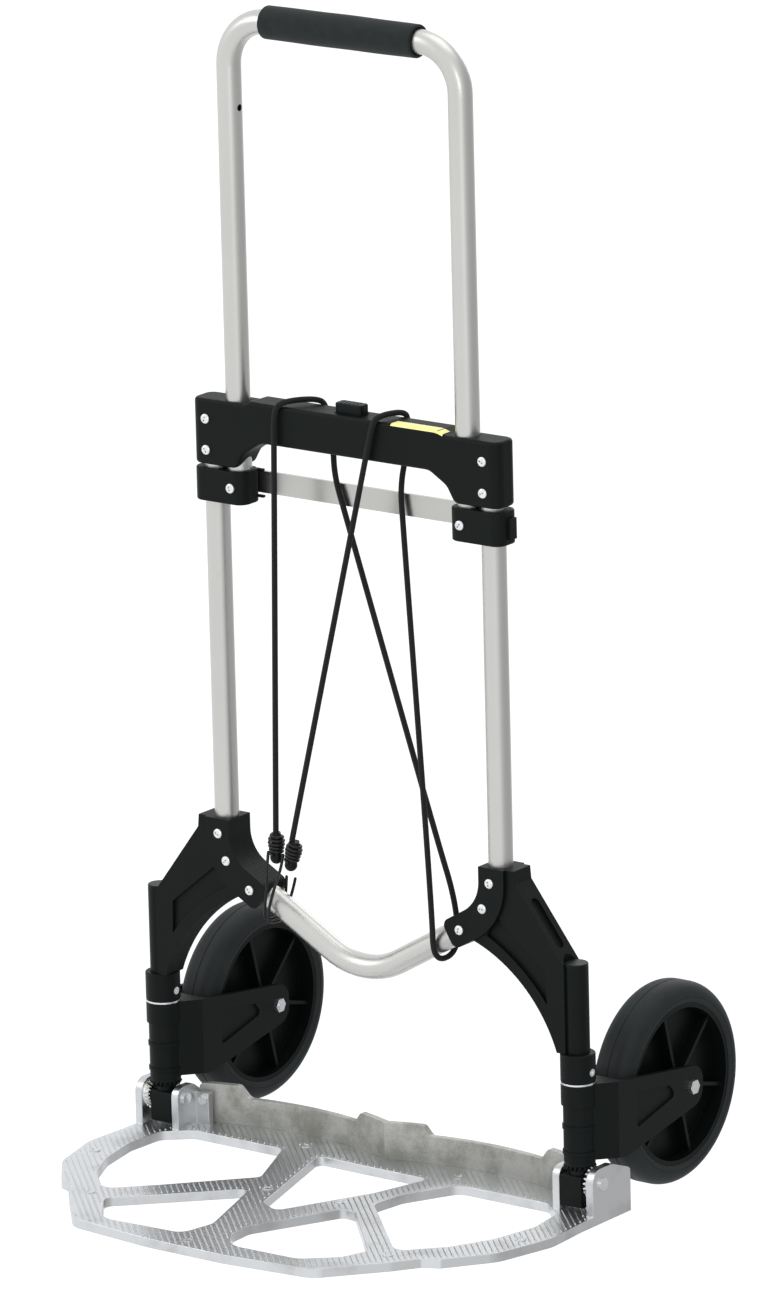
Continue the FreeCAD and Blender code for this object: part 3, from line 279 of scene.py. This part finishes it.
def tyre_rubber():
    """Matt grey-black rubber with a faint bloom and dust in its lower tones."""
    colour = (0.010, 0.013, 0.014)
    finish = Finish("tyre_rubber", colour, specular_ior_level=0.25)
    bloom = finish.noise(26.0, 5.0, roughness=0.62)
    skin = finish.noise(1300.0, 3.0)
    finish.set("Base Color", finish.mixed(bloom.clamped(0.3, 0.75), tint(colour, 0.8), tint(colour, 1.5)))
    finish.set("Roughness", 0.52 + bloom * 0.16 + (skin - 0.5) * 0.06)
    finish.relief(skin, 0.00012, 0.5)
    return finish


def woven_sheath():
    """Braided cover of the elastic cord: two sets of strands crossing round it, with painted shade darkening
    the gaps between strands.
    """
    colour = (0.006, 0.006, 0.0065)
    finish = Finish("cord_sheath", colour, specular_ior_level=0.2, sheen_weight=0.04)
    facing = finish.node("TexCoord", out="Normal")
    east = finish.node("SeparateXYZ", {}, {0: facing}, 0)
    north = finish.node("SeparateXYZ", {}, {0: facing}, 1)
    turn = finish.node("Math", {"operation": "ARCTAN2"}, {0: north, 1: east})
    run = (finish.axis(2) + finish.axis(1) * 0.5) * (2 * math.pi / 0.0042)
    strands = 6
    one_way = (run + turn * strands).sine()
    other_way = (run - turn * strands).sine()
    braid_relief_and_shade = (one_way * other_way).size() ** 0.6
    # Painted shade: colour darker in the gaps between strands and lighter on their crowns.
    finish.set("Base Color", finish.mixed(braid_relief_and_shade, tint(colour, 0.5), tint(colour, 2.2)))
    finish.set("Roughness", 0.62 + (1 - braid_relief_and_shade) * 0.25)
    finish.relief(braid_relief_and_shade, 0.00022, 0.9)
    return finish


def black_wire():
    """Steel wire dipped in black lacquer."""
    finish = Finish("hook_black", (0.006, 0.006, 0.006), specular_ior_level=0.2, coat_roughness=0.2)
    drips = finish.noise(260.0, 4.0)
    finish.set("Coat Weight", 0.06 + drips * 0.12)
    finish.set("Base Color", finish.mixed(drips, (0.004, 0.004, 0.004), (0.010, 0.010, 0.011)))
    finish.set("Roughness", 0.30 + drips * 0.18)
    finish.relief(drips, 0.00008, 0.5)
    return finish


def yellow_film():
    """Glossy yellow plastic film, a little crinkled."""
    finish = Finish("yellow_film", (0.86, 0.78, 0.20), roughness=0.3)
    crinkle = finish.noise(160.0, 3.0, (1.0, 2.0, 1.0))
    finish.set("Base Color", finish.mixed(crinkle, (0.90, 0.80, 0.16), (0.95, 0.90, 0.45)))
    finish.set("Roughness", 0.26 + crinkle * 0.2)
    finish.relief(crinkle, 0.0001, 0.4)
    return finish


ALONG_Z = (1.0, 1.0, 0.02)
ALONG_X = (0.02, 1.0, 1.0)
BLACK = (0.0034, 0.0048, 0.0046)
FINISHES = {finish.name: finish for finish in (
    drawn_aluminium("tube_aluminium", (0.56, 0.56, 0.535), 0.34, ALONG_Z),
    drawn_aluminium("bar_aluminium", (0.50, 0.50, 0.475), 0.30, ALONG_X),
    moulded_plastic("black_nylon", BLACK, 0.46, 900.0, 0.00022),
    moulded_plastic("cap_plastic", tint(BLACK, 1.3), 0.34, 1200.0, 0.00008),
    moulded_plastic("gear_nylon", tint(BLACK, 1.6), 0.38, 1200.0, 0.00008),
    moulded_plastic("joined_nylon", BLACK, 0.46, 900.0, 0.00022, split=True),
    moulded_plastic("wheel_plastic", tint(BLACK, 0.9), 0.40, 1000.0, 0.00012),
    bright_zinc("gear_zinc"),
    bright_zinc("zinc_steel"),
    polished_casting(),
    raw_casting(),
    foam_rubber(),
    tyre_rubber(),
    woven_sheath(),
    black_wire(),
)}


def finish_frame():
    """Every frame node takes the finish of its slot; mouldings made in two halves show their joint."""
    for row in frame["record"]["subparts"]:
        slot = row["material_slot"]
        if row["node"].startswith(("crossbar", "knee")) and slot == "black_nylon":
            slot = "joined_nylon"
        data = NODES[row["node"]].data
        data.materials.clear()
        data.materials.append(FINISHES[slot].material)


# ---- mesh helpers ----------------------------------------------------------------------------------
BODY_FRAME = "frame"
BODY_HANDLE = "handle"
BODY_BUTTON = "release_button"
BODY_PLATE = "toe_plate"


def add_piece(name, mesh, slot, body, stands_for=(), smooth_deg=40.0, finish=None):
    """Puts a mesh on a body with the finish of a slot."""
    if isinstance(mesh, bmesh.types.BMesh):
        built, mesh = mesh, bpy.data.meshes.new(name)
        bmesh.ops.recalc_face_normals(built, faces=built.faces)
        built.to_mesh(mesh)
        built.free()
    piece = bpy.data.objects.new(name, mesh)
    bpy.context.scene.collection.objects.link(piece)
    mesh.materials.clear()
    mesh.materials.append((finish or FINISHES[slot]).material)
    mesh.shade_smooth()
    mesh.set_sharp_from_angle(angle=math.radians(smooth_deg))
    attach(piece, body)
    if stands_for:
        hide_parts(*stands_for)
    return piece


def basis(way):
    """Two directions square to a direction and to each other."""
    side = way.cross(Z if abs(way.z) < 0.9 else X).normalized()
    return side, way.cross(side).normalized()


def close_band(built, here, there):
    """Faces between two rings of the same number of points."""
    count = len(here)
    for k in range(count):
        after = (k + 1) % count
        built.faces.new((here[k], here[after], there[after], there[k]))


def lathe(built, centre, way, outline, steps, wobble=None):
    """Closed outline of (radius, distance along the axis) points, turned about an axis."""
    side, up = basis(way)
    rings = []
    for i in range(steps):
        angle = 2 * math.pi * i / steps
        out = side * math.cos(angle) + up * math.sin(angle)
        ring = []
        for radius, along in outline:
            grow = wobble(angle, along) if wobble else 0.0
            ring.append(built.verts.new(centre + way * along + out * (radius + grow)))
        rings.append(ring)
    for i in range(steps):
        close_band(built, rings[i], rings[(i + 1) % steps])


def arc(centre, radius, start_deg, end_deg, steps):
    """Points of an arc in an outline, ends included."""
    points = []
    for i in range(steps + 1):
        angle = math.radians(start_deg + (end_deg - start_deg) * i / steps)
        points.append((centre[0] + radius * math.cos(angle), centre[1] + radius * math.sin(angle)))
    return points


def tube_along(built, points, radius, around):
    """Round bar with domed ends along a line of points."""
    count = len(points)
    way = (points[1] - points[0]).normalized()
    side, up = basis(way)
    rings = []
    for i, point in enumerate(points):
        ahead = points[min(i + 1, count - 1)] - points[max(i - 1, 0)]
        turn = way.rotation_difference(ahead.normalized())
        side, up, way = turn @ side, turn @ up, ahead.normalized()
        ring = []
        for k in range(around):
            angle = 2 * math.pi * k / around
            ring.append(built.verts.new(point + (side * math.cos(angle) + up * math.sin(angle)) * radius))
        rings.append(ring)
    for here, there in zip(rings, rings[1:]):
        close_band(built, here, there)
    shoulder_width, shoulder_rise, tip_rise = 0.7, 0.6, 0.85
    for ring, point, out in ((rings[0], points[0], points[0] - points[1]),
                             (rings[-1], points[-1], points[-1] - points[-2])):
        out = out.normalized() * radius
        inner = [built.verts.new(point + (v.co - point) * shoulder_width + out * shoulder_rise) for v in ring]
        tip = built.verts.new(point + out * tip_rise)
        close_band(built, ring, inner)
        for k in range(around):
            built.faces.new((inner[k], inner[(k + 1) % around], tip))


def nurbs_curve(name, points, per_run):
    """Curve of one NURBS spline with the given control points."""
    curve = bpy.data.curves.new(name, "CURVE")
    curve.dimensions = "3D"
    curve.resolution_u = per_run
    spline = curve.splines.new("NURBS")
    spline.points.add(len(points) - 1)
    for control, point in zip(spline.points, points):
        control.co = (*point, 1.0)
    spline.order_u = 3
    spline.use_endpoint_u = True
    return curve


def smooth_line(points):
    """Points along a NURBS curve with the given control points."""
    curve = nurbs_curve("line", points, 12)
    holder = bpy.data.objects.new("line", curve)
    mesh = bpy.data.meshes.new_from_object(holder)
    line = [v.co.copy() for v in mesh.vertices]
    bpy.data.objects.remove(holder)
    bpy.data.curves.remove(curve)
    bpy.data.meshes.remove(mesh)
    return line


def loose_parts(node):
    """Corner pair (low, high) of each separate solid in a frame node."""
    built = bmesh.new()
    built.from_mesh(NODES[node].data)
    bmesh.ops.remove_doubles(built, verts=built.verts, dist=0.000001)
    boxes, seen = [], set()
    for start in built.verts:
        if start in seen:
            continue
        island, queue = [], [start]
        seen.add(start)
        while queue:
            vert = queue.pop()
            island.append(vert.co)
            for edge in vert.link_edges:
                other = edge.other_vert(vert)
                if other not in seen:
                    seen.add(other)
                    queue.append(other)
        low = Vector([min(co[i] for co in island) for i in range(3)])
        high = Vector([max(co[i] for co in island) for i in range(3)])
        boxes.append((low, high))
    built.free()
    return boxes


def surface(node):
    """A frame node's surface, ready for rays."""
    mesh = NODES[node].data
    return BVHTree.FromPolygons([v.co for v in mesh.vertices], [tuple(p.vertices) for p in mesh.polygons])


def metres(point):
    """A place given in millimetres."""
    return [value * MM for value in point]


# ---- bungee cord and its hooks -----------------------------------------------------------------------
CORD_DIAMETER = 0.005
# In mm. Both ends hang at the left; the middle goes round the right-hand leg of the frame.
CORD_ROUTE = [
    (-79.0, -17.5, 295.0), (-78.1, -17.6, 325.0), (-69.4, -17.9, 633.0),
    (-68.5, -18.2, 663.5), (-64.0, -13.0, 671.8), (-44.0, 13.0, 671.8), (-40.0, 18.2, 663.5),
    (-34.0, 17.4, 632.0), (-28.0, 10.4, 607.0), (-18.0, 10.2, 577.0),
    (70.0, 10.6, 306.0), (86.0, 14.2, 252.0), (88.0, 14.2, 208.2), (82.0, -14.2, 204.7), (82.0, -14.2, 250.0),
    (44.0, 8.5, 577.0), (41.0, 10.4, 607.0), (42.0, 17.4, 632.0),
    (45.5, 18.2, 663.5), (44.5, 13.0, 671.8), (36.0, -13.0, 671.8), (34.0, -18.2, 663.5),
    (26.2, -18.0, 633.0), (-54.3, -17.6, 320.5), (-62.0, -17.5, 290.5)]


def bungee_cord():
    curve = nurbs_curve("bungee_cord_woven", [metres(point) for point in CORD_ROUTE], 24)
    curve.bevel_depth = CORD_DIAMETER / 2
    curve.bevel_resolution = 6
    curve.use_fill_caps = True
    curve.materials.append(FINISHES["cord_sheath"].material)
    cord = bpy.data.objects.new("bungee_cord_woven", curve)
    bpy.context.scene.collection.objects.link(cord)
    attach(cord, BODY_FRAME)
    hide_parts("bungee_cord")
    return cord


WIRE_RADIUS = 0.0013
WIND_TURNS = 5.5
WIND_STEPS = 22
WIND_RADIUS = 0.0058
WIND_WAVER = 0.0005
# The first turns are wound tighter, over this share of the winding.
WIND_PINCH = 0.0012
PINCH_SHARE = 0.2
# The winding starts this far below the ferrule's top and covers this share of its height.
WIND_START = 0.0010
WIND_SHARE = 0.62
# Each hook's wire, in mm: from the winding's side to the frame tube, then X where it passes under the
# tube, and X and Z of its tip.
HOOK_LEADS = {
    "outer": [(-84.6, -21.4, 278.0), (-86.2, -21.2, 269.0), (-92.0, -15.6, 243.0)],
    "inner": [(-68.6, -21.6, 278.0), (-72.2, -20.6, 265.0), (-78.2, -18.5, 254.7), (-85.6, -15.2, 240.3)]}
HOOK_UNDER = {"outer": -94.3, "inner": -90.5}
HOOK_TIPS = {"outer": (-91.9, 247.0), "inner": (-82.6, 246.6)}
HOOK_BEND = 0.012
TIP_DROP = 0.009
LEG_SLOPE = math.tan(math.radians(30.0))


def wound_ferrule(name, hangs_from):
    """Wire wound round the doubled cord end, with the cord's moulded bead showing below."""
    low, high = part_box("cord_ferrule_" + name)
    centre = (low + high) / 2
    height = high.z - low.z
    way = (Vector(hangs_from[1]) - Vector(hangs_from[0])).normalized()
    top = centre + way * height * 0.5
    side, up = basis(way)
    points = []
    count = int(WIND_TURNS * WIND_STEPS)
    for i in range(count + 1):
        share = i / count
        angle = 2 * math.pi * WIND_TURNS * share
        waver = WIND_WAVER * math.sin(7.0 * share + len(name))
        swell = WIND_RADIUS + waver - WIND_PINCH * max(0.0, PINCH_SHARE - share) / PINCH_SHARE
        out = side * math.cos(angle) + up * math.sin(angle)
        points.append(top - way * (WIND_START + height * WIND_SHARE * share) + out * swell)
    built = bmesh.new()
    tube_along(built, points, WIRE_RADIUS, 10)
    winding = add_piece("ferrule_winding_" + name, built, "hook_black", BODY_FRAME)
    sleeve = WIND_RADIUS - WIRE_RADIUS - 0.0002
    outline = [(0.0001, height * 0.5), (sleeve * 0.75, height * 0.5), (sleeve, height * 0.42),
               (sleeve, -height * 0.14)]
    outline += arc((0.0, -height * 0.28), sleeve + 0.0012, 30.0, -89.0, 14)
    built = bmesh.new()
    lathe(built, centre, way, outline, 32)
    bead = add_piece("cord_bead_" + name, built, "cap_plastic", BODY_FRAME, ["cord_ferrule_" + name])
    return [bead, winding]


def wire_hook(name):
    """Wire that leaves the winding's side, goes under the frame tube and ends in a tip behind it."""
    low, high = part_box("cord_hook_" + name)
    under_x = HOOK_UNDER[name] * MM
    tip_x, tip_z = metres(HOOK_TIPS[name])
    front, back = low.y + 2 * WIRE_RADIUS, high.y - WIRE_RADIUS
    bottom = low.z + WIRE_RADIUS + (low.x - under_x) * LEG_SLOPE
    points = [Vector(metres(spot)) for spot in HOOK_LEADS[name]]
    points += [Vector((under_x, front, bottom + HOOK_BEND)), Vector((under_x, front, bottom)),
               Vector((under_x, back, bottom)), Vector((under_x, back, bottom + HOOK_BEND)),
               Vector((tip_x * 0.7 + under_x * 0.3, back, tip_z - TIP_DROP)), Vector((tip_x, back, tip_z))]
    built = bmesh.new()
    tube_along(built, smooth_line(points), WIRE_RADIUS, 12)
    return add_piece("wire_hook_" + name, built, "hook_black", BODY_FRAME, ["cord_hook_" + name])


def cord_set():
    ends = {"outer": CORD_ROUTE[:2], "inner": CORD_ROUTE[:-3:-1]}
    on_cord = []
    for name, run in ends.items():
        on_cord += [*wound_ferrule(name, run), wire_hook(name)]
    cord = bungee_cord()


# ---- grip, tyres and trim --------------------------------------------------------------------------
def both_halves(half_outline, middle=()):
    """Outline from one half, listed outwards from its middle, and that half's mirror image."""
    mirror = [(radius, -along) for radius, along in reversed(half_outline)]
    return [*mirror, *middle, *half_outline]


def foam_grip():
    """Foam sleeve: slightly barrelled, with rolled lips and a mouth that stands off the tube."""
    low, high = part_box("handle_grip")
    centre = (low + high) / 2
    outer = (high.z - low.z) / 2
    half = (high.x - low.x) / 2
    wall, mouth_wall, lip = 0.0038, 0.0022, 0.0016
    mouth_ease, mouth_depth, flare_depth = 0.0004, 0.004, 0.012
    mouth = outer - mouth_wall
    belly = 12
    half_outline = [(outer, (half - lip) * i / belly) for i in range(1, belly)]
    half_outline += arc((outer - lip, half - lip), lip, 0.0, 90.0, 5)
    half_outline += [(mouth, half - mouth_ease), (mouth - mouth_ease, half - mouth_depth),
                     (outer - wall, half - flare_depth)]

    def wobble(angle, along):
        reach = 1 - (along / half) ** 2
        return -0.00035 + 0.0003 * reach + 0.00012 * reach * math.sin(3 * angle + 90 * along)
    built = bmesh.new()
    lathe(built, centre, X, both_halves(half_outline, [(outer, 0.0)]), 72, wobble)
    grip = add_piece("foam_grip", built, "grip_foam", BODY_HANDLE, ["handle_grip"])


def moulded_tyre(side):
    """Solid tyre with a parting line round the tread and a fine step at each shoulder."""
    low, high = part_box("tyre_" + side)
    centre = (low + high) / 2
    outer = (high.z - low.z) / 2
    half = (high.x - low.x) / 2
    rim_low, rim_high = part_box("wheel_" + side)
    rim = (rim_high.z - rim_low.z) / 2
    rim_half = half - 0.0016
    shoulder, step, parting, ease = 0.013, 0.0005, 0.0006, 0.0002
    flat, neck = half - shoulder, outer - shoulder
    half_outline = [(outer - step, parting / 2), (outer, parting), (outer, flat)]
    half_outline += arc((neck, flat), shoulder, 6.0, 78.0, 12)
    half_outline += [(neck + 0.001, half - ease), (neck + 0.0004, half - step - ease),
                     (neck - 0.0006, half - step), (rim + 0.0032, half), (rim + 0.0012, half - 0.0003),
                     (rim, rim_half)]
    built = bmesh.new()
    lathe(built, centre, X, both_halves(half_outline), 144)
    add_piece("moulded_tyre_" + side, built, "tyre_rubber", "wheel_" + side, ["tyre_" + side], 24.0)


# Places along the film, from the truck's middle, and how far the film drops there.
STRIP_RUN = [(0.0500, 0.0), (0.0520, 0.0), (0.0945, 0.0),
             (0.0970, 0.0002), (0.0995, 0.0008), (0.1035, 0.0022)]
STRIP_LEAN = 62.0


def blank_strip():
    """Plain yellow film over the crossbar's top front edge, down to the step at the handle tube."""
    low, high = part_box("crossbar_front_shell")
    film_thickness, edge_radius, width, steps = 0.0002, 0.0030, 0.0115, 6
    section = []
    for i in range(steps + 1):
        lean = math.radians(STRIP_LEAN * (1 - i / steps))
        out = Vector((0.0, -math.sin(lean), math.cos(lean)))
        place = Vector((0.0, low.y + edge_radius * (1 + out.y), high.z - edge_radius * (1 - out.z)))
        section.append((place, out))
    section.append((Vector((0.0, low.y + width, high.z)), Z))
    loop = [place for place, _ in section]
    loop += [place + out * film_thickness for place, out in reversed(section)]
    built = bmesh.new()
    rows = []
    for x, drop in STRIP_RUN:
        rows.append([built.verts.new(corner + Vector((x, 0.0, -drop))) for corner in loop])
    for here, there in zip(rows, rows[1:]):
        close_band(built, here, there)
    built.faces.new(rows[0])
    built.faces.new(rows[-1])
    add_piece("blank_strip", built, "cap_plastic", BODY_FRAME, finish=yellow_film())


def button_ribs():
    """Five low grip ribs across the button's top."""
    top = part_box("release_button")[1].z
    pitch, half_length, radius, sunk, steps = 0.0042, 0.0036, 0.0005, 0.00015, 6
    built = bmesh.new()
    for i in range(-2, 3):
        x = i * pitch
        points = [Vector((x, half_length * (2 * k / steps - 1), top - sunk)) for k in range(steps + 1)]
        tube_along(built, points, radius, 8)
    add_piece("button_ribs", built, "black_nylon", BODY_BUTTON)


def button_coil():
    """Coil spring under the button."""
    low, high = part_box("button_spring")
    wire, travel, around, turns = 0.00045, 0.005, 20, 5
    radius = (high.x - low.x) / 2 - 0.0005
    centre = (low + high) / 2
    height = high.z - low.z - 2 * wire
    closed_share = 0.06
    count = turns * around
    points = []
    for i in range(count + 1):
        angle = 2 * math.pi * i / around
        rise = min(1.0, max(0.0, (i / count - closed_share) / (1 - 2 * closed_share)))
        points.append(Vector((centre.x + radius * math.cos(angle), centre.y + radius * math.sin(angle),
                              low.z + wire + height * rise)))
    built = bmesh.new()
    tube_along(built, points, wire, 8)
    spring = add_piece("button_spring_coil", built, "zinc_steel", BODY_FRAME, ["button_spring"])
    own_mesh(spring)


# ---- cross-recess screws ------------------------------------------------------------------------------
SCREW_TURNS = 0.9
HEAD_HEIGHT = 0.0024
SHANK_SHARE = 0.42
FLAT_SHARE = 0.42
FLAT_FALL = 0.00003
LATHE_CENTRE = 0.00002


def screw_head(radius, length):
    """Pan head seated at the origin, its head towards -Y and its shank along +Y."""
    flat, shank = radius * FLAT_SHARE, radius * SHANK_SHARE
    outline = [(LATHE_CENTRE, -HEAD_HEIGHT)]
    outline += [(flat * k / 4, -HEAD_HEIGHT - FLAT_FALL * (4 - k)) for k in range(1, 5)]
    for k in range(1, 9):
        turn = math.pi / 2 * k / 9
        outline.append((flat + (radius - flat) * math.sin(turn), -HEAD_HEIGHT * math.cos(turn) ** 0.8))
    outline += [(radius, -0.0002), (radius, 0.0), (shank, 0.0), (shank, length), (LATHE_CENTRE, length)]
    head = bmesh.new()
    lathe(head, Vector(), Y, outline, 40)
    return head


def screw_blades(radius):
    """Two tapered blades crossing in the head: wide and thick at its top, less where they end in it."""
    blades = bmesh.new()
    for turned in (False, True):
        for vert in bmesh.ops.create_cube(blades, size=1.0)["verts"]:
            deep = vert.co.y > 0
            wide = math.copysign(radius * (0.30 if deep else 0.62), vert.co.x)
            thick = math.copysign(radius * (0.10 if deep else 0.15), vert.co.z)
            across = (thick, wide) if turned else (wide, thick)
            vert.co = (across[0], -HEAD_HEIGHT * (0.25 if deep else 1.6), across[1])
    return blades


def screw_pattern(radius, length):
    """Pan-head screw with a cross recess."""
    holders = []
    for name, built in (("screw_head", screw_head(radius, length)), ("screw_blade", screw_blades(radius))):
        bmesh.ops.recalc_face_normals(built, faces=built.faces)
        mesh = bpy.data.meshes.new(name)
        built.to_mesh(mesh)
        built.free()
        holder = bpy.data.objects.new(name, mesh)
        bpy.context.scene.collection.objects.link(holder)
        holders.append(holder)
    cut = holders[0].modifiers.new("recess", "BOOLEAN")
    cut.operation = "DIFFERENCE"
    cut.use_self = True
    cut.object = holders[1]
    depsgraph = bpy.context.evaluated_depsgraph_get()
    made = bpy.data.meshes.new_from_object(holders[0].evaluated_get(depsgraph))
    for holder in holders:
        bpy.data.objects.remove(holder)
    return made


def cross_screws(node, body):
    """Screws with real cross recesses in place of a node's plain ones."""
    built = bmesh.new()
    boxes = loose_parts(node)
    low, high = boxes[0]
    pattern = screw_pattern((high.x - low.x) / 2, high.y - low.y - HEAD_HEIGHT)
    for i, (low, high) in enumerate(boxes):
        centre = (low + high) / 2
        first = len(built.verts)
        built.from_mesh(pattern)
        built.verts.ensure_lookup_table()
        turn = Matrix.Rotation(SCREW_TURNS * (i + len(node)), 4, "Y")
        place = Matrix.Translation((centre.x, low.y + HEAD_HEIGHT, centre.z)) @ turn
        bmesh.ops.transform(built, matrix=place, verts=built.verts[first:])
    add_piece(node + "_cross", built, "zinc_steel", body, [node], 35.0)


# ---- ridges on the toe plate ----------------------------------------------------------------------------
RIDGE_PITCH = 0.0049
RIDGE_HALF = 0.0009
RIDGE_HEIGHT = 0.0009
RIDGE_MARGIN = 0.0030
RIDGE_SHORTEST = 0.004
CREST_SHARE = 0.45
CREST_INSET = 0.0007
SUNK = 0.0001
ALONG_RIDGE = Vector((1, -1, 0)).normalized()
ACROSS_RIDGE = Vector((1, 1, 0)).normalized()
PAD_RADIUS = 0.0052
PAD_CLEARANCE = 0.001
PAD_SPOTS = [(-0.007, -0.2445), (0.038, -0.095), (-0.036, -0.098), (-0.157, -0.186), (-0.225, -0.094),
             (0.226, -0.094), (0.157, -0.186), (-0.079, 0.013), (0.083, 0.013)]
PAD_OUTLINE = [(0.0001, -SUNK), (PAD_RADIUS * 0.92, -SUNK), (PAD_RADIUS * 0.86, 0.0006),
               (PAD_RADIUS * 0.62, 0.0006), (PAD_RADIUS * 0.52, 0.0002), (0.0001, 0.0002)]


def ridge(built, start, end):
    """One ridge with sloping sides and ends."""
    foot, crest = [], []
    for point, way in ((start, 1), (end, -1)):
        raised = point + ALONG_RIDGE * (way * CREST_INSET) + Z * RIDGE_HEIGHT
        sides = [ACROSS_RIDGE * (side * RIDGE_HALF) for side in (-1, 1)]
        foot.append([built.verts.new(point + side - Z * SUNK) for side in sides])
        crest.append([built.verts.new(raised + side * CREST_SHARE) for side in sides])
    built.faces.new((crest[0][0], crest[1][0], crest[1][1], crest[0][1]))
    built.faces.new((foot[0][0], foot[0][1], foot[1][1], foot[1][0]))
    for k in (0, 1):
        built.faces.new((foot[0][k], foot[1][k], crest[1][k], crest[0][k]))
        built.faces.new((foot[k][0], crest[k][0], crest[k][1], foot[k][1]))


def plate_ridges():
    """Parallel diagonal ridges over the plate's top, short of its edges and of the round pads."""
    low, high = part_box("toe_plate")
    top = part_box("rear_rail")[0].z
    plate, rail = surface("toe_plate"), surface("rear_rail")
    above, tolerance = high.z + 0.01, 0.0002

    def on_top(point):
        start = Vector((point.x, point.y, above))
        hit = plate.ray_cast(start, -Z)[0]
        return hit is not None and abs(hit.z - top) < tolerance and rail.ray_cast(start, -Z)[0] is None

    def is_clear(point):
        if not on_top(point):
            return False
        if any((point - Vector((*spot, point.z))).length < PAD_RADIUS + PAD_CLEARANCE for spot in PAD_SPOTS):
            return False
        offsets = (ALONG_RIDGE * RIDGE_MARGIN, ACROSS_RIDGE * RIDGE_MARGIN)
        return all(on_top(point + way * side) for way in offsets for side in (-1, 1))

    reach = (high - low).length / 2
    middle = Vector(((low.x + high.x) / 2, (low.y + high.y) / 2, top))
    step = 0.0008
    rows = int(reach / RIDGE_PITCH)
    built = bmesh.new()
    for i in range(-rows, rows + 1):
        start = None
        for k in range(int(2 * reach / step) + 2):
            point = middle + ACROSS_RIDGE * (i * RIDGE_PITCH) + ALONG_RIDGE * (k * step - reach)
            inside = low.x < point.x < high.x and low.y < point.y < high.y and is_clear(point)
            if inside and start is None:
                start = point
            if not inside and start is not None:
                if (point - start).length > RIDGE_SHORTEST:
                    ridge(built, start, point - ALONG_RIDGE * step)
                start = None
    for spot in PAD_SPOTS:
        centre = Vector((*spot, top))
        if all(on_top(centre + Vector((math.cos(a), math.sin(a), 0)) * PAD_RADIUS) for a in range(6)):
            lathe(built, centre, Z, PAD_OUTLINE, 28)
    add_piece("plate_ridges", built, "cast_plate", BODY_PLATE, smooth_deg=25.0)


# ---- lights and surround -------------------------------------------------------------------------------
LIT_POINT = (0.0, 0.0, 0.45)
DARK_SIDE = (0.80, 0.55, -0.25)
SURROUND_COLOUR = (0.98, 0.99, 1.0, 1.0)


def lamp(name, spot, size, power):
    """Rectangular lamp aimed at the truck's middle."""
    data = bpy.data.lights.new(name, "AREA")
    data.shape = "RECTANGLE"
    data.size, data.size_y = size
    data.energy = power
    light = bpy.data.objects.new(name, data)
    bpy.context.scene.collection.objects.link(light)
    light.location = spot
    light.rotation_mode = "QUATERNION"
    light.rotation_quaternion = (Vector(LIT_POINT) - Vector(spot)).to_track_quat("-Z", "Y")


def studio():
    """Soft lights in a white surround that darkens on the truck's right."""
    world = bpy.data.worlds.new("studio")
    bpy.context.scene.world = world
    world.use_nodes = True
    bpy.context.scene.view_settings.view_transform = "Standard"
    surround = Shading(world.node_tree)
    where = surround.node("TexCoord", out="Generated")
    facing = surround.node("VectorMath", {"operation": "DOT_PRODUCT"}, {0: where, 1: DARK_SIDE}, "Value")
    background = world.node_tree.nodes["Background"]
    surround.feed(background.inputs["Strength"], facing.clamped(0.1, 0.95, 1.12, 0.60))
    surround.feed(background.inputs["Color"], SURROUND_COLOUR)
    lamp("key", (-2.4, -2.2, 2.4), (1.2, 1.8), 20.0)
    lamp("fill", (2.2, -2.6, 1.4), (0.8, 1.6), 9.0)
    lamp("top", (0.2, 0.4, 3.4), (2.2, 2.2), 13.0)
    lamp("rim", (-0.6, 3.0, 1.6), (2.0, 1.4), 10.0)


place_camera()
finish_frame()
cord_set()
foam_grip()
for side in ("left", "right"):
    moulded_tyre(side)
blank_strip()
button_ribs()
button_coil()
cross_screws("crossbar_screws", BODY_FRAME)
cross_screws("knee_screws", BODY_FRAME)
cross_screws("block_screws", BODY_HANDLE)
plate_ridges()
studio()
